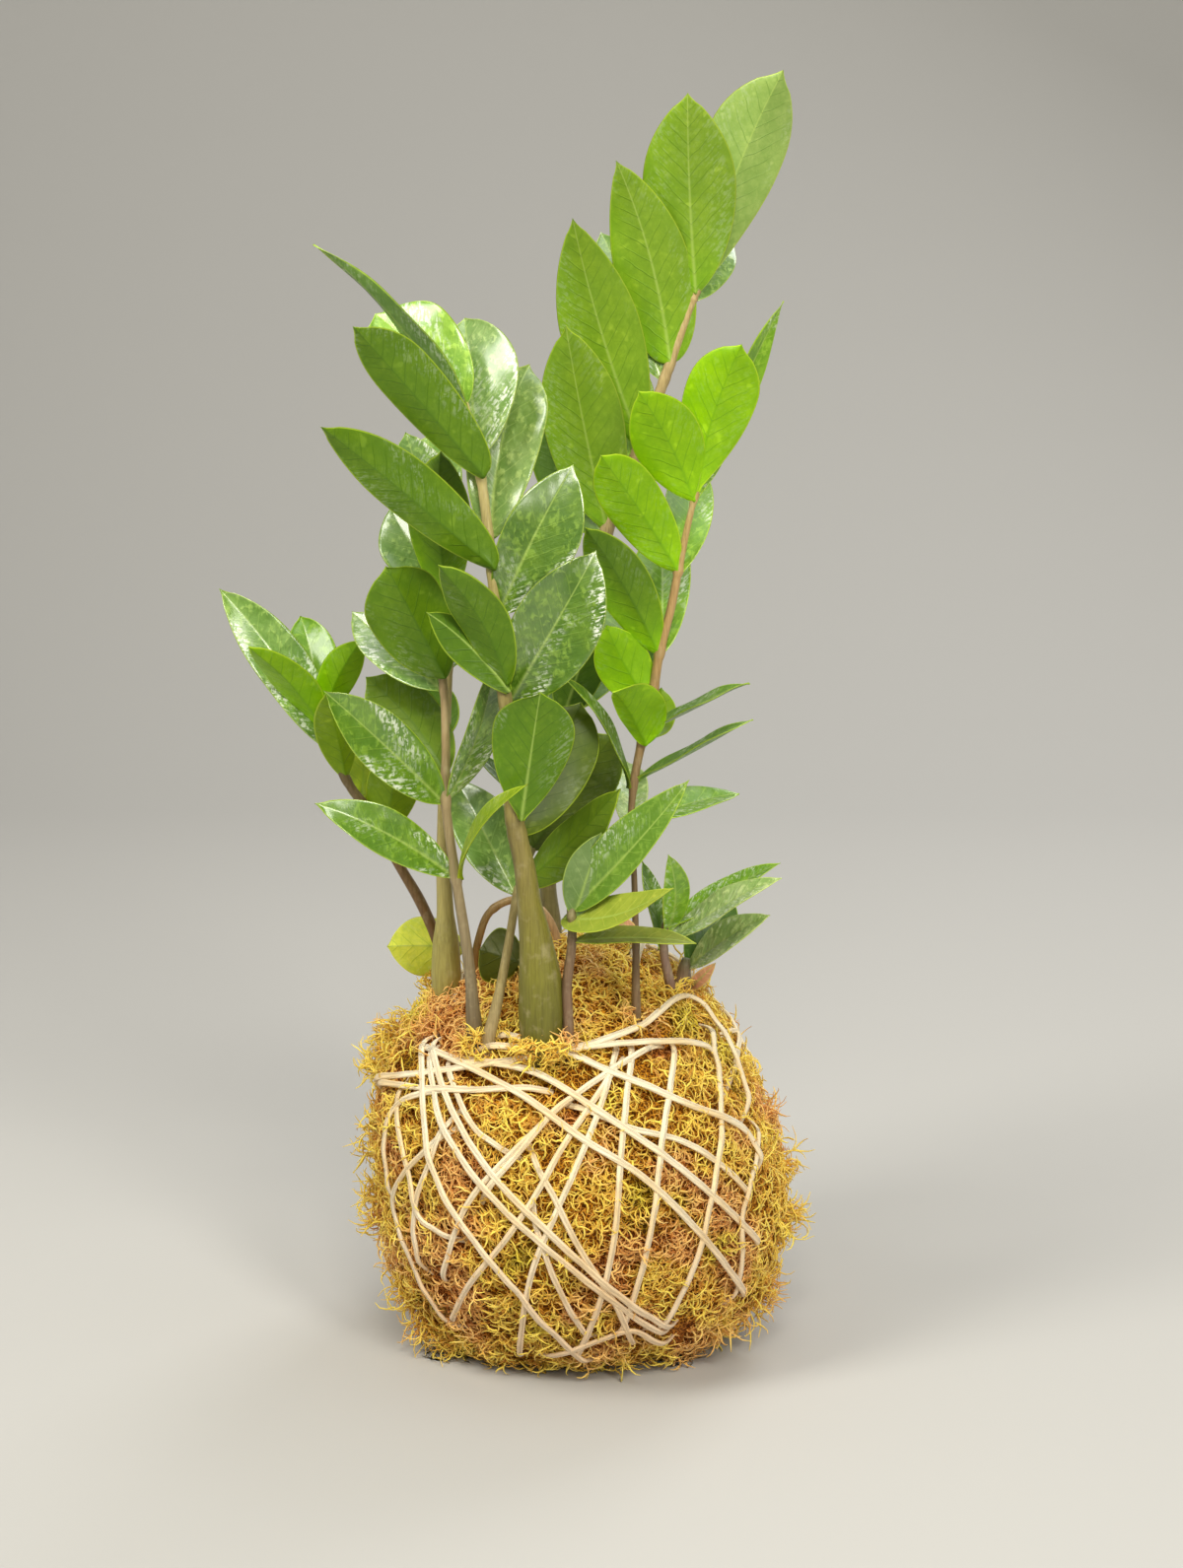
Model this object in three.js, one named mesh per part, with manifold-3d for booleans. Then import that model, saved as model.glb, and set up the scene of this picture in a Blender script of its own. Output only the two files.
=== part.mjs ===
// A kokedama: a ZZ plant growing out of a moss ball that is bound with pale string.
//
// Millimetres, +Z up, +Y away from the front. The origin is the middle of the spot that the ball rests on.
// The soil ball holds the rhizomes, a moss skin wraps the soil and string binds the moss. Each frond stands
// in a plain hole through moss and soil. A frond is one body: its stem with every leaflet fused to it.
import * as THREE from "three";
import { mergeVertices } from "three/addons/utils/BufferGeometryUtils.js";
import Module from "manifold-3d";

const wasm = await Module();
wasm.setup();

// ---------------------------------------------------------------- driving dimensions

const BALL_RADIUS = 73.5; // of the moss, before its lumps
const BALL_MIDDLE = new THREE.Vector3(0, 0, 63); // the flat spot is 10.5 mm up from a full sphere's foot
const MOSS_THICKNESS = 9;
const MOSS_RELIEF = 2.2; // how deep the moss dips between its tufts
const GAP = 0.4; // between pieces that touch
const STRING_WIDTH = 2.8;
const STRING_HEIGHT = 1.9;
const TURN_STEPS = 24; // straight lengths in one turn of string round the ball
const STRING_LIFT = 0.9; // from the moss's outer form to the string's underside
const STRING_BURIED = 1.5; // how high above the floor the string lies where the ball rests
const BLADE_THICKNESS = 1; // at the midrib, thinning to the margins
const STEM_SIDES = 6;
const THICK_STEM_SIDES = 10;
const THICK_STEM = 4; // a stem wider than this radius gets more sides

// The eye point that the plant is described from. Places on the plant are written as they are seen from it:
// u to the right and v upwards, in millimetres on the picture plane, and depth, the real Y of the point.
const EYE = new THREE.Vector3(4, -940, 403);
const EYE_PITCH = THREE.MathUtils.degToRad(12.5);
const PICTURE_DISTANCE = 966.7;
const PICTURE_MIDDLE = { u: 4, v: 200 };
const FORWARD = new THREE.Vector3(0, Math.cos(EYE_PITCH), -Math.sin(EYE_PITCH));
const UPWARD = new THREE.Vector3(0, Math.sin(EYE_PITCH), Math.cos(EYE_PITCH));
const DEPTHWARD = new THREE.Vector3(0, 1, 0);

// Outlines of a leaflet: how fast it narrows to its foot and to its tip. Equal numbers: widest halfway.
const POINTED = { foot: 0.85, tip: 0.8 };
const SLENDER = { foot: 0.8, tip: 0.9 };
const ROUND = { foot: 0.85, tip: 0.55 };
const BROAD_TOP = { foot: 1.1, tip: 0.6 };
const BROAD_FOOT = { foot: 0.62, tip: 0.9 };

// Each frond: its stem from the moss up, as [u, v, depth, radius], and its leaflets, as
// [v where it leaves the stem, tip u, tip v, tip depth, width, turn, outline, arch, sway].
// Turn 0 shows the upper face to the eye, 90 its edge and 180 the underside. Arch is how far the middle of
// the leaflet stands out on its upper side, and sway how far to the right of its line from foot to tip as
// it is seen, both as a share of its length. The two smallest, near the moss, are dry husks.
const FRONDS = [
  {
    name: "frond_front",
    colour: 0x4c8a22,
    stem: [
      [-12.7, 113, -46, 6.8],
      [-13, 124, -46, 7.2],
      [-13.5, 134, -46.5, 7],
      [-15, 148, -47, 5.3],
      [-17, 160, -48, 3.9],
      [-18.7, 172, -49, 3.4],
      [-22, 188, -50, 3],
      [-25, 227, -52, 2.0],
      [-29, 265, -53, 1.7],
      [-33.3, 303, -51, 1.5],
      [-39, 329, -49, 1.1],
    ],
    leaflets: [
      [188, -13.3, 231.7, -64, 26, 183, BROAD_TOP, 0.02, 0],
      [183, 0.5, 228, -34, 24, 176, ROUND, 0.03, 0.02],
      [234, -48, 274, -74, 16.5, 158, POINTED, 0.03, 0.05],
      [231, -52, 258.2, -60, 13, 196, POINTED, 0.03, 0.05],
      [227.7, 5.7, 278.8, -54, 27.5, 5, POINTED, 0.06, 0],
      [257.7, -2, 308.2, -47, 24, 0, POINTED, 0.06, -0.02],
      [272.7, -88, 321.5, -78, 18.5, 172, POINTED, 0.03, 0],
      [283, -17, 342.5, -32, 23, -8, ROUND, 0.05, -0.05],
      [304, -77, 355.6, -74, 18.5, 170, ROUND, 0.02, 0],
      [310, -39.3, 358.2, -24, 28, -14, POINTED, 0.06, 0.03],
      [321, -89, 383, -52, 14.5, 116, SLENDER, 0, 0.05],
      [327, -69, 359, -30, 29, 12, ROUND, 0.04, 0.03],
    ],
  },
  {
    name: "frond_left_slender",
    colour: 0x4f8f2a,
    stem: [
      [-35, 113, -36, 2.9],
      [-36, 122, -36, 2.5],
      [-36.7, 132, -36.5, 1.9],
      [-39.3, 152, -37, 1.8],
      [-41.7, 167, -38, 1.6],
      [-45.3, 194, -38, 1.5],
      [-45.3, 212, -36, 1.4],
      [-46, 232, -34, 1.3],
      [-48, 247, -33, 1],
    ],
    leaflets: [
      [169, -89.3, 193.6, -52, 15.5, 14, POINTED, 0.04, 0.03],
      [168, -17.5, 200, -72, 11, -68, SLENDER, 0.06, -0.04],
      [194, -86.5, 231.6, -58, 19, 12, POINTED, 0.04, 0],
      [195, -28.8, 241, -44, 16, 48, POINTED, 0.04, 0.02],
      [203, -72, 235.5, -16, 22, 184, ROUND, 0.04, 0.06],
      [232, -77, 258, -14, 18, 18, POINTED, 0.06, -0.02],
      [236, -65.3, 273.5, -46, 26, 182, ROUND, 0.04, 0],
    ],
  },
  {
    name: "frond_left_thick",
    colour: 0x4a8420,
    stem: [
      [-45, 126, 2, 4.6],
      [-45, 136, 2, 5.2],
      [-45.2, 146, 2, 4.5],
      [-45.4, 156, 2, 3],
      [-46, 172, 2, 2.5],
      [-46.3, 192, 3, 1.7],
      [-45.3, 218, 8, 1.6],
      [-44.3, 245, 11, 1.5],
      [-44.3, 265, 12, 1.3],
      [-47, 290, 13, 1],
    ],
    leaflets: [
      [216, -58, 236, 58, 20, 170, POINTED, 0.05, 0],
      [240, -39, 270, 62, 19, 10, POINTED, 0.05, 0],
      [248, -62, 268, 52, 19, 175, POINTED, 0.05, 0],
      [262, -47, 312.5, -18, 21, 178, POINTED, 0.04, -0.03],
      [266, -64, 294, 30, 22, 0, POINTED, 0.04, -0.03],
      [281, -59, 319, 26, 20, 4, POINTED, 0.04, 0],
      [286, -51.5, 318, 44, 20, 0, POINTED, 0.06, 0],
    ],
  },
  {
    name: "frond_far_left",
    colour: 0x6fa028,
    stem: [
      [-45.5, 133, 17, 2],
      [-46.5, 142, 17, 2],
      [-49.3, 150, 17, 1.9],
      [-54.3, 161, 15, 1.9],
      [-61, 172.3, 13, 1.7],
      [-71, 190, 9, 1.6],
      [-78.7, 201, 6, 1.6],
      [-86.7, 220, 3, 1.2],
      [-89, 230, 3, 0.9],
    ],
    leaflets: [
      [181.7, -60.5, 214, -4, 18, 182, POINTED, 0.03, 0],
      [194, -72.5, 218, 26, 15, 170, POINTED, 0.04, 0],
      [202, -86, 230.5, -18, 14, 186, POINTED, 0.05, 0.02],
      [222, -73.5, 249.5, -10, 13, 190, POINTED, 0.05, -0.03],
      [212, -122, 266, 8, 18.5, 12, POINTED, 0.04, 0.035],
      [218, -112, 246.3, -20, 15, 140, POINTED, 0.04, 0.03],
      [224, -94.5, 257, 24, 18, -8, POINTED, 0.04, 0.04],
    ],
  },
  {
    name: "frond_middle",
    colour: 0x47761f,
    stem: [
      [-31, 112, -41, 2.2],
      [-29, 121, -40, 1.9],
      [-27, 130, -38.5, 1.6],
      [-23.7, 148, -35, 1.4],
      [-21.3, 162, -31, 1.4],
      [-18.5, 172, -24, 1.4],
      [-14.3, 184, -13, 1.4],
      [-11, 200, -6, 1.3],
      [-7, 217, -3, 1.2],
      [-4, 228, -2, 1],
    ],
    leaflets: [
      [163, -42, 202, -18, 20, 10, POINTED, 0.04, 0],
      [165, 13.3, 198.5, -46, 17, 152, SLENDER, 0.03, 0.02],
      [178, 11.5, 217, -14, 24, 186, ROUND, 0.04, 0],
      [187, -36.7, 211.5, -4, 12, 62, SLENDER, 0.05, 0],
      [214, -11, 233.5, 12, 15, 0, POINTED, 0.05, 0],
      [222, 4, 251.5, -12, 17, 180, ROUND, 0.04, 0],
    ],
  },
  {
    name: "frond_lime",
    colour: 0x86b81a,
    stem: [
      [19, 121, -34, 1.7],
      [19, 132, -34, 1.6],
      [19, 145, -33, 1.5],
      [18.3, 172, -31, 1.2],
      [17.3, 185, -29, 1.3],
      [18.3, 200, -28, 1.6],
      [20.7, 213, -27, 1.7],
      [24.7, 230, -26, 1.6],
      [26.7, 243, -25, 1.5],
      [31, 260, -24, 1.4],
      [33.3, 272, -23, 1.3],
      [36, 285, -22, 1.1],
      [39.5, 300, -21, 0.9],
    ],
    leaflets: [
      [146, 10.5, 155, -38, 5, 20, POINTED, 0.1, 0.1],
      [184, 16, 207.5, 10, 12, 0, POINTED, 0.05, 0.02],
      [187, 54, 197.3, -14, 16, -56, POINTED, 0.03, 0],
      [199, -4, 237.4, -50, 10, 72, SLENDER, 0.05, 0],
      [202, 58, 222.9, -32, 12, -80, SLENDER, 0, 0.01],
      [214, 11, 233, -60, 18, 170, ROUND, 0.03, 0.14],
      [216, 27.5, 232.3, -6, 13, 178, ROUND, 0.05, 0.06],
      [219, 56.7, 235.6, -30, 12, -78, SLENDER, 0, 0.01],
      [227, 9, 254, -30, 18, 184, POINTED, 0.04, -0.04],
      [232, 12, 266, 6, 19, 5, POINTED, 0.04, 0],
      [244, 1.5, 287.5, -42, 18, 176, POINTED, 0.04, 0.02],
      [245, 28, 285, 14, 19, -2, ROUND, 0.04, 0],
      [272, 7, 311.3, -44, 19, 180, ROUND, 0.04, 0.01],
      [272, 36.5, 311, 14, 16, 0, POINTED, 0.04, 0.03],
      [296, 20, 332.6, -40, 22.5, 182, POINTED, 0.04, 0.03],
      [297, 69, 363.3, -2, 14, 52, SLENDER, 0.02, -0.03],
      [299, 55, 348.8, -30, 23.5, 176, BROAD_TOP, 0.04, -0.04],
    ],
  },
  {
    name: "frond_tall",
    colour: 0x6c9a28,
    stem: [
      [-8.7, 141, 27, 3.2],
      [-9.3, 152, 27, 3.3],
      [-10.7, 165, 27, 3],
      [-9.3, 182, 26, 2.6],
      [-6, 212, 24, 2.5],
      [-1, 245, 24, 2.4],
      [8.3, 283, 25, 2.2],
      [17.7, 308, 27, 2.0],
      [28, 335, 29, 1.8],
      [37.3, 361, 31, 1.4],
      [40.5, 369, 31.5, 1.1],
    ],
    leaflets: [
      [214, -26, 243, 62, 22, 10, POINTED, 0.05, 0],
      [226, 12, 258, 66, 22, 170, POINTED, 0.05, 0],
      [250, -18, 283, 70, 23, 10, POINTED, 0.05, 0],
      [283, -13.3, 333.3, 48, 26, 184, POINTED, 0.04, 0],
      [286, -4.7, 355, 6, 27, 178, POINTED, 0.04, -0.01],
      [306, 10, 350, 78, 24, 14, POINTED, 0.05, 0],
      [315, -2.7, 392.4, 10, 27, 180, POINTED, 0.04, -0.03],
      [337, 7, 388, 54, 20, 8, POINTED, 0.05, 0],
      [342, 12, 411.5, 16, 26, 182, BROAD_FOOT, 0.04, 0.04],
      [364, 50, 389, 66, 14, 24, POINTED, 0.05, 0],
      [366, 36.5, 433.5, 12, 31, 180, POINTED, 0.04, -0.01],
      [367, 68.3, 441.5, 32, 28, 190, BROAD_TOP, 0.04, -0.02],
    ],
  },
  {
    name: "frond_low_right",
    colour: 0x7d9a3a,
    stem: [
      [-3.6, 113, -48, 2],
      [-4, 122, -47.5, 1.8],
      [-4.3, 132, -47, 1.7],
      [-2.7, 145, -46, 1.5],
      [-2.5, 151, -45, 1.4],
      [-3, 160, -43, 1.1],
    ],
    leaflets: [
      [147, 39.5, 146.5, -46, 13, -62, SLENDER, 0.04, 0],
      [150, 31, 165.6, -68, 15, -60, BROAD_FOOT, 0.03, -0.05],
      [155, 7.3, 183.6, -46, 15, 0, POINTED, 0.04, 0],
      [158, 37.4, 201.4, -58, 15, -24, BROAD_FOOT, 0.04, 0.02],
    ],
  },
  {
    name: "sprig_far_right",
    colour: 0x5f9436,
    stem: [
      [31, 129, -12, 1.8],
      [30, 135, -13, 1.7],
      [28.5, 143, -14, 1.4],
      [28.8, 151, -15, 1.2],
      [30, 155, -15, 0.9],
    ],
    leaflets: [
      [144, 21, 174, 2, 10, 50, POINTED, 0.05, 0],
      [150, 29.8, 176.4, -30, 10, 26, POINTED, 0.05, 0.06],
      [147, 66.7, 169.5, -34, 14, -54, SLENDER, 0.02, 0.01],
      [152, 67.4, 174.3, -8, 13, -54, SLENDER, 0, 0],
    ],
  },
  {
    name: "sprig_right_shoulder",
    colour: 0x55853a,
    stem: [
      [35, 128, -2, 3.2],
      [35, 133, -2, 3],
      [35.5, 138, -3, 2],
      [36, 141, -3, 1.4],
    ],
    leaflets: [
      [138, 64, 156, -16, 14, -44, SLENDER, 0.05, 0],
      [139, 52, 160, 22, 15, -20, POINTED, 0.05, 0],
      [131, 46, 139.5, -12, 5, 10, POINTED, 0.1, 0],
    ],
  },
  {
    name: "sprig_yellow",
    colour: 0xb9b832,
    stem: [
      [-36, 132, 24, 1.6],
      [-37, 139, 25, 1.4],
      [-39, 144.5, 25, 1.2],
      [-41, 146, 25, 1],
    ],
    leaflets: [[144.5, -65.3, 145, 20, 21, 184, POINTED, 0.03, 0.02]],
  },
  {
    name: "sprig_shaded",
    colour: 0x35591a,
    stem: [
      [-18, 128, -16, 1.6],
      [-19, 135, -16, 1.4],
      [-20, 141, -15, 1.1],
    ],
    leaflets: [[139.5, -34, 144, -14, 19, 182, ROUND, 0.03, 0]],
  },
];

// The dry stalk that arches out of the moss and back into it, as [u, v, depth].
const ARCHED_STALK = [
  [-35.5, 138, 8],
  [-34, 148, 9],
  [-30.3, 156.7, 10],
  [-22, 160.8, 10],
  [-12.7, 157, 9],
  [-8.3, 150, 9],
  [-6.5, 140, 8],
];
const ARCHED_STALK_RADIUS = 1.1;

// The string's turns round the ball: the [u, v] that each passes on the front, and then, seen through the
// ball, those that it passes behind on its way back to its first.
const STRING_TURNS = [
  {
    front: [[-52.7, 112], [-52.7, 98.5], [-50, 71.9], [-40, 51.9], [-21, 28.5], [0.7, 5.2]],
    behind: [[-29, 22], [-54, 55], [-64, 92]],
  },
  {
    front: [[-51, 107], [-46, 83.5], [-32.7, 63.5], [-14.3, 45.2], [4, 30.2], [25.7, 14.5]],
    behind: [[34, 35], [21, 72], [-9, 102], [-39, 112]],
  },
  {
    front: [[-49.3, 109.2], [-29.3, 100.2], [0.7, 80.2], [20.7, 67.5], [40.7, 47.9], [54.7, 29.2]],
    behind: [[44, 38], [4, 68], [-36, 95]],
  },
  {
    front: [[-54, 107], [-37.7, 105.9], [-14.3, 101.9], [7.3, 88.5], [30.7, 72.5], [49, 56.9], [59.7, 46]],
    behind: [[51, 42], [11, 65], [-29, 88]],
  },
  {
    front: [[-67.7, 100.5], [-26, 102.5], [-4.3, 104.9], [20.7, 110.2], [42.3, 111.2], [52, 107.9]],
    behind: [[61, 95], [31, 82], [-9, 78], [-49, 88]],
  },
  {
    front: [[-66.7, 98.9], [-32, 99.9], [-9.3, 105.9], [10.7, 102.5], [34, 92.5], [56.3, 81.9]],
    behind: [[62, 68], [34, 52], [-16, 55], [-56, 75]],
  },
  {
    front: [[25.7, 111.8], [4, 94.5], [-6, 76.9], [-14.3, 61.9], [-24.3, 46.9], [-37.7, 30.2], [-39, 16]],
    behind: [[-9, 28], [21, 55], [51, 88], [51, 108]],
  },
  {
    front: [[37.3, 118.5], [22, 109], [16.3, 98.5], [14, 75.2], [12, 48.5], [8, 28.5], [-0.3, 7.9]],
    behind: [[24, 30], [34, 72], [44, 102]],
  },
  {
    front: [[46.3, 105.2], [47.7, 85.2], [45.3, 65.2], [40.7, 43.5], [34, 26.9], [29, 20.2]],
    behind: [[34, 35], [54, 72], [55, 100]],
  },
];

// Lumps and hollows of the ball: the direction from its middle, how far the surface moves and how wide it is.
const LUMPS = [
  { toward: [-0.87, -0.2, 0.46], by: 6, spread: 0.3 },
  { toward: [-1, -0.1, -0.02], by: -4, spread: 0.26 },
  { toward: [0.86, -0.1, 0.46], by: -8, spread: 0.36 },
  { toward: [0.1, 0.35, 1], by: 4, spread: 0.4 },
  { toward: [-0.5, -0.2, -0.8], by: 7, spread: 0.4 },
  { toward: [0.65, -0.2, -0.7], by: 7, spread: 0.4 },
  { toward: [0.3, 0.9, -0.3], by: 3, spread: 0.5 },
  { toward: [-0.4, 0.9, 0.2], by: -3, spread: 0.4 },
].map((lump) => ({ ...lump, toward: new THREE.Vector3(...lump.toward).normalize() }));

// The rhizomes, buried in the soil: each one's middle and half sizes, lying level and turned about Z.
const RHIZOMES = [
  { at: [-10, -32, 76], half: [20, 14, 12], turn: -10 },
  { at: [18, -20, 74], half: [18, 14, 12], turn: 40 },
  { at: [-28, -4, 76], half: [20, 13, 12], turn: 70 },
  { at: [-4, 14, 78], half: [18, 14, 12], turn: 10 },
];
const FOOT_DEPTH = 34; // how far each stem goes on down from the moss to its foot on a rhizome
const FOOT_DRAWN_IN = 0.86; // how much nearer to the middle the feet are than where stems leave the moss
const FOOT_TAPER = 0.7; // a foot's radius, as a share of the stem's where it leaves the moss

// ---------------------------------------------------------------- places

// The real place of a point that is seen at u, v on the picture plane and lies at this depth.
function seen(u, v, depth) {
  const ray = FORWARD.clone()
    .multiplyScalar(PICTURE_DISTANCE)
    .addScaledVector(UPWARD, v - PICTURE_MIDDLE.v);
  ray.x += u - PICTURE_MIDDLE.u;
  return EYE.clone().addScaledVector(ray, (depth - EYE.y) / ray.y);
}

// The height at which a real point is seen on the picture plane.
function seenHeight(point) {
  const away = point.clone().sub(EYE);
  return PICTURE_MIDDLE.v + (away.dot(UPWARD) * PICTURE_DISTANCE) / away.dot(FORWARD);
}

// The ball's outer form along a direction from its middle, flat where it rests.
function ballRadius(direction) {
  let radius = BALL_RADIUS;
  for (const { toward, by, spread } of LUMPS)
    radius += by * Math.exp(-(direction.angleTo(toward) ** 2) / (2 * spread ** 2));
  const toFloor = direction.z < 0 ? -BALL_MIDDLE.z / direction.z : Infinity;
  return Math.min(radius, toFloor);
}

// Tufts of moss, from 0 on a tuft's crown to 1 between tufts. They die out over the flat spot.
function mossHollow({ x, y, z }) {
  const wave = Math.sin(13 * x + 5 * y) * Math.sin(11 * y - 7 * z) + Math.sin(17 * z + 9 * x - 4 * y);
  return THREE.MathUtils.smoothstep(z, -0.85, -0.6) * (0.5 + 0.25 * wave);
}

// ---------------------------------------------------------------- solids

const manifoldOf = (geometry) => {
  geometry.deleteAttribute("normal");
  geometry.deleteAttribute("uv");
  const merged = mergeVertices(geometry, 1e-3);
  return new wasm.Manifold(
    new wasm.Mesh({
      numProp: 3,
      vertProperties: merged.attributes.position.array,
      triVerts: new Uint32Array(merged.index.array),
    }),
  );
};

// A closed skin over a row of rings of points, with its ends capped, or joined where the row is a loop.
function loft(rings, isLoop = false) {
  const sides = rings[0].length;
  const index = [];
  const spans = isLoop ? rings.length : rings.length - 1;
  for (let i = 0; i < spans; i++)
    for (let j = 0; j < sides; j++) {
      const a = i * sides + j;
      const b = i * sides + ((j + 1) % sides);
      const c = ((i + 1) % rings.length) * sides + ((j + 1) % sides);
      const d = ((i + 1) % rings.length) * sides + j;
      index.push(a, b, c, a, c, d);
    }
  if (!isLoop)
    for (let j = 1; j < sides - 1; j++) {
      const last = (rings.length - 1) * sides;
      index.push(0, j + 1, j, last, last + j, last + j + 1);
    }
  const geometry = new THREE.BufferGeometry().setFromPoints(rings.flat()).setIndex(index);
  return manifoldOf(geometry);
}

// A stem: round, along a smooth curve through its points, swelling as their radii say, and grown by extra.
function stemSolid(path, radii, extra = 0) {
  const sides = Math.max(...radii) > THICK_STEM ? THICK_STEM_SIDES : STEM_SIDES;
  const rings = radii.map((radius, i) => {
    const share = i / (radii.length - 1);
    const middle = path.getPoint(share);
    const heading = path.getTangent(share);
    const right = heading.clone().cross(DEPTHWARD).normalize();
    const back = heading.clone().cross(right);
    return Array.from({ length: sides }, (_, j) => {
      const angle = (2 * Math.PI * j) / sides;
      return middle
        .clone()
        .addScaledVector(right, (radius + extra) * Math.cos(angle))
        .addScaledVector(back, (radius + extra) * Math.sin(angle));
    });
  });
  return loft(rings);
}

// The share of the way along a stem's curve at which it is seen at height v.
function shareAtHeight(path, v) {
  let low = 0;
  let high = 1;
  for (let i = 0; i < 30; i++) {
    const middle = (low + high) / 2;
    if (seenHeight(path.getPoint(middle)) < v) low = middle;
    else high = middle;
  }
  return low;
}

const BLADE_ROWS = [0, 0.1, 0.27, 0.48, 0.7, 0.88];
const BLADE_CUP = 0.2; // how far the margins stand up from the midrib, as a share of the half width
const STALK_HALF_WIDTH = 1.1;

// The half width of a leaflet, as a share of its widest, at share s of its length.
function outlineAt(s, { foot, tip }) {
  const widest = foot / (foot + tip);
  return (s / widest) ** foot * ((1 - s) / (1 - widest)) ** tip;
}

// A leaflet: a thin blade folded a little along its midrib, from its foot inside the stem to its tip. Each
// row has its left margin, its upper midrib, its right margin and its lower midrib; both faces split alike.
function leafletSolid(foot, tip, width, turn, outline, arch, sway) {
  const chord = tip.clone().sub(foot);
  const length = chord.length();
  const along = chord.clone().normalize();
  const toEye = EYE.clone().sub(foot).addScaledVector(chord, -0.5);
  toEye.addScaledVector(along, -toEye.dot(along)).normalize();
  const facing = toEye.clone().applyAxisAngle(along, THREE.MathUtils.degToRad(turn));
  const bow = facing
    .clone()
    .multiplyScalar(4 * arch * length)
    .addScaledVector(along.clone().cross(toEye), 4 * sway * length);
  const points = BLADE_ROWS.flatMap((s) => {
    const middle = foot.clone().addScaledVector(chord, s).addScaledVector(bow, s * (1 - s));
    const heading = chord.clone().addScaledVector(bow, 1 - 2 * s).normalize();
    const up = facing.clone().addScaledVector(heading, -facing.dot(heading)).normalize();
    const across = up.clone().cross(heading);
    const half = Math.max(STALK_HALF_WIDTH, (width / 2) * outlineAt(s, outline));
    const margin = (side) =>
      middle.clone().addScaledVector(across, side * half).addScaledVector(up, BLADE_CUP * half);
    return [margin(-1), middle.clone().addScaledVector(up, -BLADE_THICKNESS), margin(1), middle];
  });
  const last = points.length - 4;
  const index = [0, 2, 1, 0, 3, 2];
  for (let row = 0; row < last; row += 4)
    for (const [midrib, margin, side] of [[1, 0, 1], [1, 2, -1], [3, 0, -1], [3, 2, 1]]) {
      const [a, b, c, d] = [midrib, midrib + 4, margin + 4, margin].map((corner) => row + corner);
      index.push(...(side > 0 ? [a, b, c, a, c, d] : [a, c, b, a, d, c]));
    }
  for (const [a, b] of [[0, 1], [1, 2], [2, 3], [3, 0]]) index.push(last + a, last + b, points.length);
  const geometry = new THREE.BufferGeometry().setFromPoints([...points, tip]).setIndex(index);
  return manifoldOf(geometry);
}

// A ball-shaped grid, its poles on Z, with each point set out along its own direction.
function ballSolid(around, down, radiusAt) {
  const geometry = new THREE.SphereGeometry(1, around, down).rotateX(Math.PI / 2);
  const place = geometry.attributes.position;
  const direction = new THREE.Vector3();
  for (let i = 0; i < place.count; i++) {
    direction.fromBufferAttribute(place, i).normalize();
    direction.multiplyScalar(radiusAt(direction)).add(BALL_MIDDLE);
    place.setXYZ(i, direction.x, direction.y, direction.z);
  }
  return manifoldOf(geometry);
}

// The direction from the ball's middle of a place seen on its front, or seen through it on its back.
function seenOnBall([u, v], side) {
  const ray = seen(u, v, 0).sub(EYE).normalize();
  const toMiddle = BALL_MIDDLE.clone().sub(EYE);
  const nearest = toMiddle.dot(ray);
  const off = Math.min(toMiddle.lengthSq() - nearest ** 2, BALL_RADIUS ** 2);
  return ray
    .multiplyScalar(nearest + side * Math.sqrt(BALL_RADIUS ** 2 - off))
    .sub(toMiddle)
    .normalize();
}

// One turn of string, as a closed row of points on the moss with the outward direction at each.
function turnPath({ front, behind }) {
  const places = [
    ...front.map((place) => seenOnBall(place, -1)),
    ...behind.map((place) => seenOnBall(place, 1)),
  ];
  const curve = new THREE.CatmullRomCurve3(places, true, "centripetal");
  return curve
    .getSpacedPoints(TURN_STEPS)
    .slice(0, TURN_STEPS)
    .map((direction) => {
      const outward = direction.normalize();
      const point = outward.clone().multiplyScalar(ballRadius(outward) + STRING_LIFT).add(BALL_MIDDLE);
      point.z = Math.max(point.z, STRING_HEIGHT + STRING_BURIED);
      return { point, outward };
    });
}

// A turn of string: a low ridge with its flat side to the moss, grown by extra on every side.
function turnSolid(path, extra = 0) {
  const rings = path.map(({ point, outward }, i) => {
    const before = path[(i + path.length - 1) % path.length].point;
    const after = path[(i + 1) % path.length].point;
    const heading = after.clone().sub(before).normalize();
    const across = outward.clone().cross(heading).normalize();
    const out = heading.clone().cross(across).normalize();
    const half = STRING_WIDTH / 2 + 1.5 * extra;
    return [
      point.clone().addScaledVector(across, -half).addScaledVector(out, -extra),
      point.clone().addScaledVector(across, half).addScaledVector(out, -extra),
      point.clone().addScaledVector(out, STRING_HEIGHT + 1.5 * extra),
    ];
  });
  return loft(rings, true);
}

// ---------------------------------------------------------------- the plant

const group = new THREE.Group();

function addPart(name, solid, colour, roughness) {
  const { numProp, vertProperties, triVerts } = solid.getMesh();
  const geometry = new THREE.BufferGeometry()
    .setAttribute("position", new THREE.BufferAttribute(vertProperties, numProp))
    .setIndex(new THREE.BufferAttribute(triVerts, 1));
  geometry.computeVertexNormals();
  const material = new THREE.MeshStandardMaterial({ color: colour, roughness, metalness: 0 });
  const mesh = new THREE.Mesh(geometry, material);
  mesh.name = name;
  group.add(mesh);
}

const union = (solids) => solids.reduce((whole, next) => whole.add(next));

// A solid without the loose scraps that cutting leaves.
function mainBody(solid) {
  const bodies = solid.decompose();
  return bodies.reduce((main, body) => (body.volume() > main.volume() ? body : main));
}

function footBelow({ x, y, z }) {
  return new THREE.Vector3(x * FOOT_DRAWN_IN, y * FOOT_DRAWN_IN, z - FOOT_DEPTH);
}

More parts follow.
